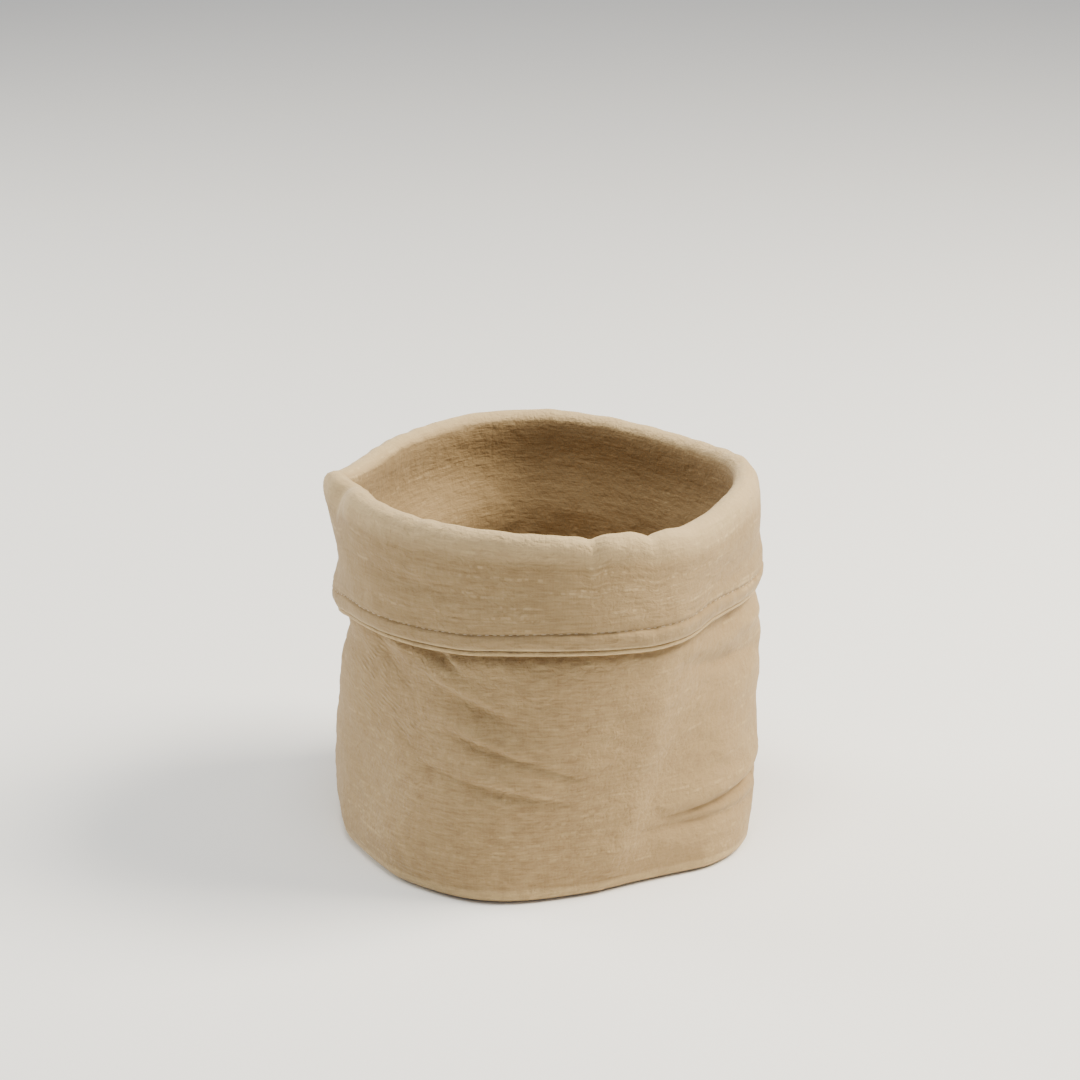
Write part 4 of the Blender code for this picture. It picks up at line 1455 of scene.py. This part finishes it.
@dataclass(frozen=True)
class LinenFinish:
    """Washed natural linen in plain weave. Lengths are in metres."""

    name: str
    light: tuple[float, float, float] = (0.43, 0.304, 0.152)
    dark: tuple[float, float, float] = (0.27, 0.175, 0.083)
    pitch: float = 0.00066  # from thread to thread
    streak_thickness: float = 0.0012
    streak_length: float = 0.007
    rib_thickness: float = 0.0030
    rib_length: float = 0.009
    slub_spacing: float = 0.0017
    slub_length: float = 0.0034
    slub_amount: float = 0.7
    slub_tone: float = 0.48
    crease_size: float = 0.0075
    pebble_size: float = 0.0020
    gather_spacing: float = 0.0026
    cloud_size: float = 0.045
    cloud_tone: float = 0.13
    speck_size: float = 0.006
    # painted shade in the cloth's hollows and painted light on its ridges, so much
    painted_fold_shading_tone: float = 0.035  # for each millimetre of lift
    # lighter where rubbed, and painted highlight on the rim's crest, the hem and the lip
    wear_and_highlight_tone: float = 1.10
    seam_width: float = 0.7  # millimetres, as the seam's distance is
    seam_tone: float = -0.02
    weave_depth: float = 0.00009
    crease_depth: float = 0.0012
    pucker_depth: float = 0.00055
    seam_depth: float = 0.00007
    rumple: float = 1.0
    sheen: float = 0.12

    def material(self) -> bpy.types.Material:
        """The finish as a material, made once.

        Returns:
            The material.
        """
        if self.name in bpy.data.materials:
            return bpy.data.materials[self.name]
        material = bpy.data.materials.new(self.name)
        material.use_nodes = True
        desk = NodeDesk(material.node_tree)
        shader = material.node_tree.nodes["Principled BSDF"]
        pattern = self.pattern(desk)
        rough = desk.math("MULTIPLY_ADD", pattern.specks["Shade"], 0.04, 0.88)
        for title, value in (
            ("Base Color", self.colour(desk, pattern)),
            ("Roughness", desk.math("MULTIPLY_ADD", pattern.wear_and_highlight, -0.05, rough)),
            ("Normal", self.relief(desk, pattern)),
            ("Sheen Weight", self.sheen),
            ("Sheen Roughness", 0.45),
            ("Sheen Tint", (1.0, 0.97, 0.92, 1.0)),
            ("Specular IOR Level", 0.25),
            ("Metallic", 0.0),
        ):
            desk.feed(shader.inputs[title], value)
        return material

    def pattern(self, desk: NodeDesk) -> LinenPattern:
        """Place the shared groups, and read the values on the piece's points.

        Args:
            desk: The desk of the material's tree.

        Returns:
            Their outputs.
        """
        cloth = desk.add("ShaderNodeUVMap", uv_map=CLOTH_MAP).outputs[0]
        place = desk.add("ShaderNodeTexCoord").outputs["Object"]
        streaks = {"Cloth": cloth, "Thickness": self.streak_thickness, "Length": self.streak_length}
        ribs = {"Cloth": cloth, "Thickness": self.rib_thickness, "Length": self.rib_length}
        slubs = {
            "Cloth": cloth,
            "Spacing": self.slub_spacing,
            "Length": self.slub_length,
            "Amount": self.slub_amount,
        }
        groups = {}
        for title, tree, feeds in (
            ("weave", ClothGroups.weave(), {"Cloth": cloth, "Pitch": self.pitch, "Wander": 0.9}),
            ("slubs", ClothGroups.slubs(), slubs),
            ("yarn", ClothGroups.yarn(), streaks),
            ("ribs", ClothGroups.yarn(), ribs),
            ("creases", ClothGroups.crumple(), {"Cloth": cloth, "Size": self.crease_size}),
            ("pebbles", ClothGroups.crumple(), {"Cloth": cloth, "Size": self.pebble_size}),
            ("gathers", ClothGroups.gathers(), {"Cloth": cloth, "Spacing": self.gather_spacing}),
            ("clouds", ClothGroups.mottle(), {"Place": place, "Size": self.cloud_size}),
            ("specks", ClothGroups.mottle(), {"Place": place, "Size": self.speck_size}),
            ("seam", ClothGroups.seam(), {"Distance": desk.attribute("seam"), "Width": self.seam_width}),
        ):
            groups[title] = desk.add("ShaderNodeGroup", feeds, node_tree=tree).outputs
        values = {title: desk.attribute(title) for title in ("hollow", "wear_and_highlight", "gather")}
        values["rumple"] = desk.math("MULTIPLY", desk.attribute("rumple"), self.rumple)
        return LinenPattern(**groups, **values)

    def colour(self, desk: NodeDesk, pattern: LinenPattern) -> bpy.types.NodeSocket:
        """Mix the cloth's colour, from its dark one to its light one and a little beyond, with painted
        shade and light on its folds and painted highlight on its rim, hem and lip.

        Args:
            desk: The desk of the material's tree.
            pattern: What it is mixed from.

        Returns:
            The colour.
        """
        detail = desk.math("MULTIPLY", pattern.specks["Shade"], 0.26)
        for value, middle, weight in (
            (pattern.weave["Thread"], 0.5, 0.40),
            (pattern.weave["Height"], 0.6, 0.30),
            (pattern.yarn["Streak"], 0.5, 1.5),
            (pattern.ribs["Streak"], 0.5, 1.1),
        ):
            detail = desk.math("MULTIPLY_ADD", desk.math("SUBTRACT", value, middle), weight, detail)
        tone = desk.math("MULTIPLY_ADD", pattern.clouds["Shade"], self.cloud_tone, 0.5)
        for value, weight in (
            (detail, pattern.rumple),
            (pattern.slubs["Slub"], self.slub_tone),
            # painted shade in troughs and painted light on ridges, by how far the cloth is lifted
            (pattern.hollow, self.painted_fold_shading_tone),
            # painted highlight on the rim, hem and lip, besides their real rubbing
            (pattern.wear_and_highlight, self.wear_and_highlight_tone),
            (pattern.seam["Groove"], self.seam_tone),
        ):
            tone = desk.math("MULTIPLY_ADD", value, weight, tone)
        shade = desk.math("MAXIMUM", desk.math("MINIMUM", tone, 1.7), 0.0)
        colour = desk.mix(shade, (*self.dark, 1.0), (*self.light, 1.0))
        colour.node.clamp_factor = False
        return colour

    def relief(self, desk: NodeDesk, pattern: LinenPattern) -> bpy.types.NodeSocket:
        """Bend the surface's normal: creases, then puckers, then the seam, then the threads.

        Args:
            desk: The desk of the material's tree.
            pattern: What the heights are mixed from.

        Returns:
            The normal.
        """
        creases = desk.math("MULTIPLY_ADD", pattern.ribs["Streak"], 0.6, pattern.creases["Height"])
        drawn = desk.math("MULTIPLY", pattern.gathers["Height"], pattern.gather)
        pebbles = desk.math("MULTIPLY", pattern.pebbles["Height"], pattern.rumple)
        puckers = desk.math("MULTIPLY_ADD", pebbles, 2.6, drawn)
        threads = desk.math("MULTIPLY_ADD", pattern.slubs["Slub"], 1.5, pattern.weave["Height"])
        threads = desk.math("MULTIPLY_ADD", pattern.yarn["Streak"], 1.6, threads)
        thread_strength = desk.math("MULTIPLY", pattern.rumple, 0.9)
        below = {}
        for height, strength, depth in (
            (creases, 0.8, self.crease_depth),
            (puckers, 0.8, self.pucker_depth),
            (pattern.seam["Height"], 0.5, self.seam_depth),
            (threads, thread_strength, self.weave_depth),
        ):
            feeds = {"Strength": strength, "Distance": depth, "Height": height, **below}
            below = {"Normal": desk.add("ShaderNodeBump", feeds).outputs[0]}
        return below["Normal"]


@dataclass(frozen=True)
class ThreadFinish:
    """Twisted cotton sewing thread, a little lighter than the linen."""

    name: str = "sewing_thread"
    light: tuple[float, float, float] = (0.66, 0.53, 0.37)
    dark: tuple[float, float, float] = (0.48, 0.36, 0.23)
    shade_size: float = 0.0012  # metres
    ply_scale: float = 900.0
    ply_depth: float = 0.0001  # metres

    def material(self) -> bpy.types.Material:
        """The finish as a material, made once.

        Returns:
            The material.
        """
        if self.name in bpy.data.materials:
            return bpy.data.materials[self.name]
        material = bpy.data.materials.new(self.name)
        material.use_nodes = True
        desk = NodeDesk(material.node_tree)
        shader = material.node_tree.nodes["Principled BSDF"]
        shader.inputs["Sheen Weight"].default_value = 0.15
        shader.inputs["Specular IOR Level"].default_value = 0.35
        place = desk.add("ShaderNodeTexCoord").outputs["Object"]
        feeds = {"Place": place, "Size": self.shade_size}
        shades = desk.add("ShaderNodeGroup", feeds, node_tree=ClothGroups.mottle()).outputs
        tone = desk.math("MULTIPLY_ADD", shades["Shade"], 0.4, 0.55, clamp=True)
        desk.feed(shader.inputs["Base Color"], desk.mix(tone, (*self.dark, 1.0), (*self.light, 1.0)))
        desk.feed(shader.inputs["Roughness"], desk.math("MULTIPLY_ADD", tone, 0.1, 0.7))
        feeds = {"Vector": place, "Scale": self.ply_scale, "Distortion": 1.0}
        plies = desk.add("ShaderNodeTexWave", feeds).outputs[1]
        feeds = {"Strength": 0.5, "Distance": self.ply_depth, "Height": plies}
        desk.feed(shader.inputs["Normal"], desk.add("ShaderNodeBump", feeds).outputs[0])
        return material


# ----------------------------------------------------------------------------------------------
# Stitching
# ----------------------------------------------------------------------------------------------


SMALLEST_STITCH = (0.88, 0.85, 0.85)  # shares of the usual length, width and height
LARGEST_STITCH = (1.08, 1.12, 1.12)


@dataclass
class StitchRow:
    """A row of running stitches along a path on the cloth, made by Geometry Nodes, in metres."""

    name: str
    path: np.ndarray
    closed: bool
    finish: ThreadFinish
    pitch: float = 0.0040
    length: float = 0.0029
    thickness: float = 0.00062
    seed: int = 3

    @staticmethod
    def tree() -> bpy.types.NodeTree:
        """The node tree, with the stitch's sizes as named inputs, made once.

        Returns:
            The group.
        """
        name = "Running stitches"
        if name in bpy.data.node_groups:
            return bpy.data.node_groups[name]
        tree = bpy.data.node_groups.new(name, "GeometryNodeTree")
        face = tree.interface
        face.new_socket("Geometry", in_out="INPUT", socket_type="NodeSocketGeometry")
        for title, kind, value in (
            ("Pitch", "NodeSocketFloat", 0.004),
            ("Length", "NodeSocketFloat", 0.003),
            ("Thickness", "NodeSocketFloat", 0.0006),
            ("Seed", "NodeSocketInt", 3),
        ):
            face.new_socket(title, in_out="INPUT", socket_type=kind).default_value = value
        face.new_socket("Thread", in_out="INPUT", socket_type="NodeSocketMaterial")
        face.new_socket("Geometry", in_out="OUTPUT", socket_type="NodeSocketGeometry")
        desk = NodeDesk(tree)
        given, out = desk.add("NodeGroupInput"), desk.add("NodeGroupOutput")
        spaced = desk.add("GeometryNodeResampleCurve", {"Curve": given.outputs["Geometry"]}, mode="LENGTH")
        desk.feed(spaced.inputs["Length"], given.outputs["Pitch"])
        bead = desk.add("GeometryNodeMeshUVSphere", {"Segments": 8, "Rings": 6, "Radius": 0.5})
        sizes = desk.add(
            "ShaderNodeCombineXYZ",
            {
                "X": given.outputs["Length"],
                "Y": given.outputs["Thickness"],
                "Z": given.outputs["Thickness"],
            },
        )
        stitch = desk.add(
            "GeometryNodeTransform", {"Geometry": bead.outputs["Mesh"], "Scale": sizes.outputs[0]}
        )
        smooth = desk.add("GeometryNodeSetShadeSmooth", {0: stitch.outputs[0]})
        tangent = desk.add("GeometryNodeInputTangent")
        turned = desk.add("FunctionNodeAlignRotationToVector", {"Vector": tangent.outputs[0]}, axis="X")
        size = desk.add(
            "FunctionNodeRandomValue",
            {"Min": SMALLEST_STITCH, "Max": LARGEST_STITCH, "Seed": given.outputs["Seed"]},
            data_type="FLOAT_VECTOR",
        )
        placed = desk.add(
            "GeometryNodeInstanceOnPoints",
            {
                "Points": spaced.outputs[0],
                "Instance": smooth.outputs[0],
                "Rotation": turned.outputs[0],
                "Scale": size.outputs[0],
            },
        )
        real = desk.add("GeometryNodeRealizeInstances", {0: placed.outputs[0]})
        dressed = desk.add(
            "GeometryNodeSetMaterial", {"Geometry": real.outputs[0], "Material": given.outputs["Thread"]}
        )
        desk.feed(out.inputs[0], dressed.outputs[0])
        return tree

    def build(self) -> bpy.types.Object:
        """Make the row as one plain mesh.

        Returns:
            The row of stitches.
        """
        curve = bpy.data.curves.new(self.name, "CURVE")
        curve.dimensions = "3D"
        spline = curve.splines.new("POLY")
        spline.points.add(len(self.path) - 1)
        for point, place in zip(spline.points, self.path):
            point.co = (*place, 1.0)
        spline.use_cyclic_u = self.closed
        guide = bpy.data.objects.new(f"{self.name}_guide", curve)
        bpy.context.scene.collection.objects.link(guide)
        sew = guide.modifiers.new("Stitches", "NODES")
        sew.node_group = self.tree()
        values = {
            "Pitch": self.pitch,
            "Length": self.length,
            "Thickness": self.thickness,
            "Seed": self.seed,
            "Thread": self.finish.material(),
        }
        for item in sew.node_group.interface.items_tree:
            if item.in_out == "INPUT" and item.name in values:
                sew[item.identifier] = values[item.name]
        bpy.context.view_layer.update()
        graph = bpy.context.evaluated_depsgraph_get()
        mesh = bpy.data.meshes.new_from_object(guide.evaluated_get(graph))
        mesh.name = self.name
        bpy.data.objects.remove(guide)
        bpy.data.curves.remove(curve)
        row = bpy.data.objects.new(self.name, mesh)
        bpy.context.scene.collection.objects.link(row)
        return row


# ----------------------------------------------------------------------------------------------
# The bag and its studio
# ----------------------------------------------------------------------------------------------


@dataclass
class BreadBag:
    """The whole bag: two cloths and their stitching."""

    form: BagForm = field(default_factory=BagForm)
    outer_rows: ClothRows = field(default_factory=ClothRows)
    lining_rows: ClothRows = field(
        default_factory=lambda: ClothRows(wall=30, hidden_wall=14, roll=12, cuff=34, band=20)
    )
    outer_finish: LinenFinish = LinenFinish("outer_linen_cloth")
    lining_finish: LinenFinish = LinenFinish(
        "lining_linen_cloth",
        rumple=0.85,
        light=(0.40, 0.285, 0.148),
        dark=(0.25, 0.163, 0.074),
        streak_length=0.012,
        rib_length=0.014,
        slub_tone=0.65,
        seam_depth=0.00014,
    )
    thread: ThreadFinish = ThreadFinish()

    def build(self) -> list[bpy.types.Object]:
        """Make and place every piece.

        Returns:
            The pieces, each riding on the bag's one body.
        """
        outer = BagCloth(self.form, Ply.OUTER, self.outer_rows, self.outer_finish)
        lining = BagCloth(self.form, Ply.LINING, self.lining_rows, self.lining_finish)
        cloths = {
            Ply.OUTER: outer.build("outer_bag_cloth"),
            Ply.LINING: lining.build("lining_cloth"),
        }
        shift = self.stand(list(cloths.values()))
        groove = StitchRow("hem_topstitch", self.groove_path(shift), True, self.thread).build()
        for ply, cloth in cloths.items():
            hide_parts(ply.value)
        pieces = [*cloths.values(), groove]
        for piece in pieces:
            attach(piece, BODY)
        return pieces

    def stand(self, cloths: list[bpy.types.Object]) -> Vector:
        """Move the cloths so that together they stand where the solids stand.

        Args:
            cloths: The two cloths.

        Returns:
            How far they moved.
        """
        bpy.context.view_layer.update()
        graph = bpy.context.evaluated_depsgraph_get()
        corners = np.concatenate([np.array(c.evaluated_get(graph).bound_box) for c in cloths])
        own = (corners.min(axis=0) + corners.max(axis=0)) / 2.0
        boxes = [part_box(ply.value) for ply in Ply]
        low = np.min([np.array(box[0]) for box in boxes], axis=0)
        high = np.max([np.array(box[1]) for box in boxes], axis=0)
        middle = (low + high) / 2.0
        shift = Vector((middle[0] - own[0], middle[1] - own[1], low[2] - corners[:, 2].min()))
        for cloth in cloths:
            cloth.data.transform(Matrix.Translation(shift))
        log.info("cloths moved by %s mm", [round(value * 1000.0, 2) for value in shift])
        return shift

    def groove_path(self, shift: Vector) -> np.ndarray:
        """The line of the topstitching, on the face of the cuff.

        Args:
            shift: How far the cloths moved.

        Returns:
            Points in metres, one for each column.
        """
        form = self.form
        height = form.hem + form.groove
        lift = form.cuff_lift(height) + form.band_relief(form.groove)
        outward = form.clearance(height) + form.ply + form.cloth
        points = form.point(form.angle, height, form.reach(form.angle, height) + lift + outward)
        return points + np.array(shift)


@dataclass(frozen=True)
class Lamp:
    """A soft square light that looks at the bag."""

    name: str
    angle: float  # where it stands round the bag, in degrees
    rise: float  # how high it stands, in degrees above the table
    power: float  # watts
    colour: tuple[float, float, float]


LAMPS = (
    Lamp("key", 68.0, 50.0, 83.0, (1.0, 0.915, 0.75)),
    Lamp("overhead", -45.0, 79.0, 27.0, (1.0, 0.98, 0.90)),
    Lamp("far_left", -140.0, 20.0, 29.0, (1.0, 0.97, 0.86)),
)


@dataclass
class Studio:
    """The floor, the light and the camera. Lengths are in metres and angles in degrees."""

    azimuth: float = 64.5
    elevation: float = 20.0
    distance: float = 1.6
    target: tuple[float, float, float] = (-0.00158, -0.00386, 0.1505)
    lens: float = 106.67  # millimetres, as the sensor's width is
    sensor: float = 36.0
    light_distance: float = 1.9
    light_size: float = 0.8
    lit_point: tuple[float, float, float] = (0.0, 0.0, 0.1)
    sky_colour: tuple[float, float, float, float] = (0.93, 1.0, 1.14, 1.0)
    sky_strength: float = 0.29
    floor_half: float = 6.0
    floor_colour: tuple[float, float, float, float] = (0.9, 0.9, 0.9, 1.0)

    def axes(self) -> tuple[Vector, Vector, Vector]:
        """The camera's directions.

        Returns:
            Its right, up and back directions, each of length 1.
        """
        turn, rise = math.radians(self.azimuth), math.radians(self.elevation)
        back = Vector((math.sin(turn) * math.cos(rise), -math.cos(turn) * math.cos(rise), math.sin(rise)))
        right = Vector((math.cos(turn), math.sin(turn), 0.0))
        return right, back.cross(right), back

    def camera(self) -> None:
        """Set the camera."""
        right, up, back = self.axes()
        data = bpy.data.cameras.new("camera")
        data.lens = self.lens
        data.sensor_width = self.sensor
        camera = bpy.data.objects.new("camera", data)
        bpy.context.scene.collection.objects.link(camera)
        turned = Matrix((right, up, back)).transposed().to_4x4()
        turned.translation = Vector(self.target) + back * self.distance
        camera.matrix_world = turned
        bpy.context.scene.camera = camera

    def floor(self) -> None:
        """A plain pale floor."""
        half = self.floor_half
        mesh = bpy.data.meshes.new("floor")
        corners = [(-half, -half, 0.0), (half, -half, 0.0), (half, half, 0.0), (-half, half, 0.0)]
        mesh.from_pydata(corners, [], [(0, 1, 2, 3)])
        floor = bpy.data.objects.new("floor", mesh)
        bpy.context.scene.collection.objects.link(floor)
        material = bpy.data.materials.new("studio_floor")
        material.use_nodes = True
        shader = material.node_tree.nodes["Principled BSDF"]
        shader.inputs["Base Color"].default_value = self.floor_colour
        shader.inputs["Roughness"].default_value = 0.9
        shader.inputs["Specular IOR Level"].default_value = 0.1
        mesh.materials.append(material)

    def light(self, row: Lamp) -> None:
        """Set a light.

        Args:
            row: Its row in the table of lamps.
        """
        around, up = math.radians(row.angle), math.radians(row.rise)
        place = Vector((math.cos(around) * math.cos(up), math.sin(around) * math.cos(up), math.sin(up)))
        place *= self.light_distance
        data = bpy.data.lights.new(row.name, "AREA")
        data.energy = row.power
        data.color = row.colour
        data.size = self.light_size
        lamp = bpy.data.objects.new(row.name, data)
        bpy.context.scene.collection.objects.link(lamp)
        lamp.location = place
        lamp.rotation_euler = (Vector(self.lit_point) - place).to_track_quat("-Z", "Y").to_euler()

    def lights(self) -> None:
        """The sky and the soft lights."""
        world = bpy.data.worlds.new("studio")
        world.use_nodes = True
        sky = world.node_tree.nodes["Background"]
        sky.inputs[0].default_value = self.sky_colour
        sky.inputs[1].default_value = self.sky_strength
        bpy.context.scene.world = world
        for row in LAMPS:
            self.light(row)


def main() -> None:
    """Build the bag and its studio."""
    logging.basicConfig(level=logging.INFO, format="%(message)s")
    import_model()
    studio = Studio()
    studio.camera()
    studio.floor()
    studio.lights()
    for piece in BreadBag().build():
        piece.data.calc_loop_triangles()
        log.info("%s: %d triangles before thickness", piece.name, len(piece.data.loop_triangles))


if __name__ == "__main__":
    main()
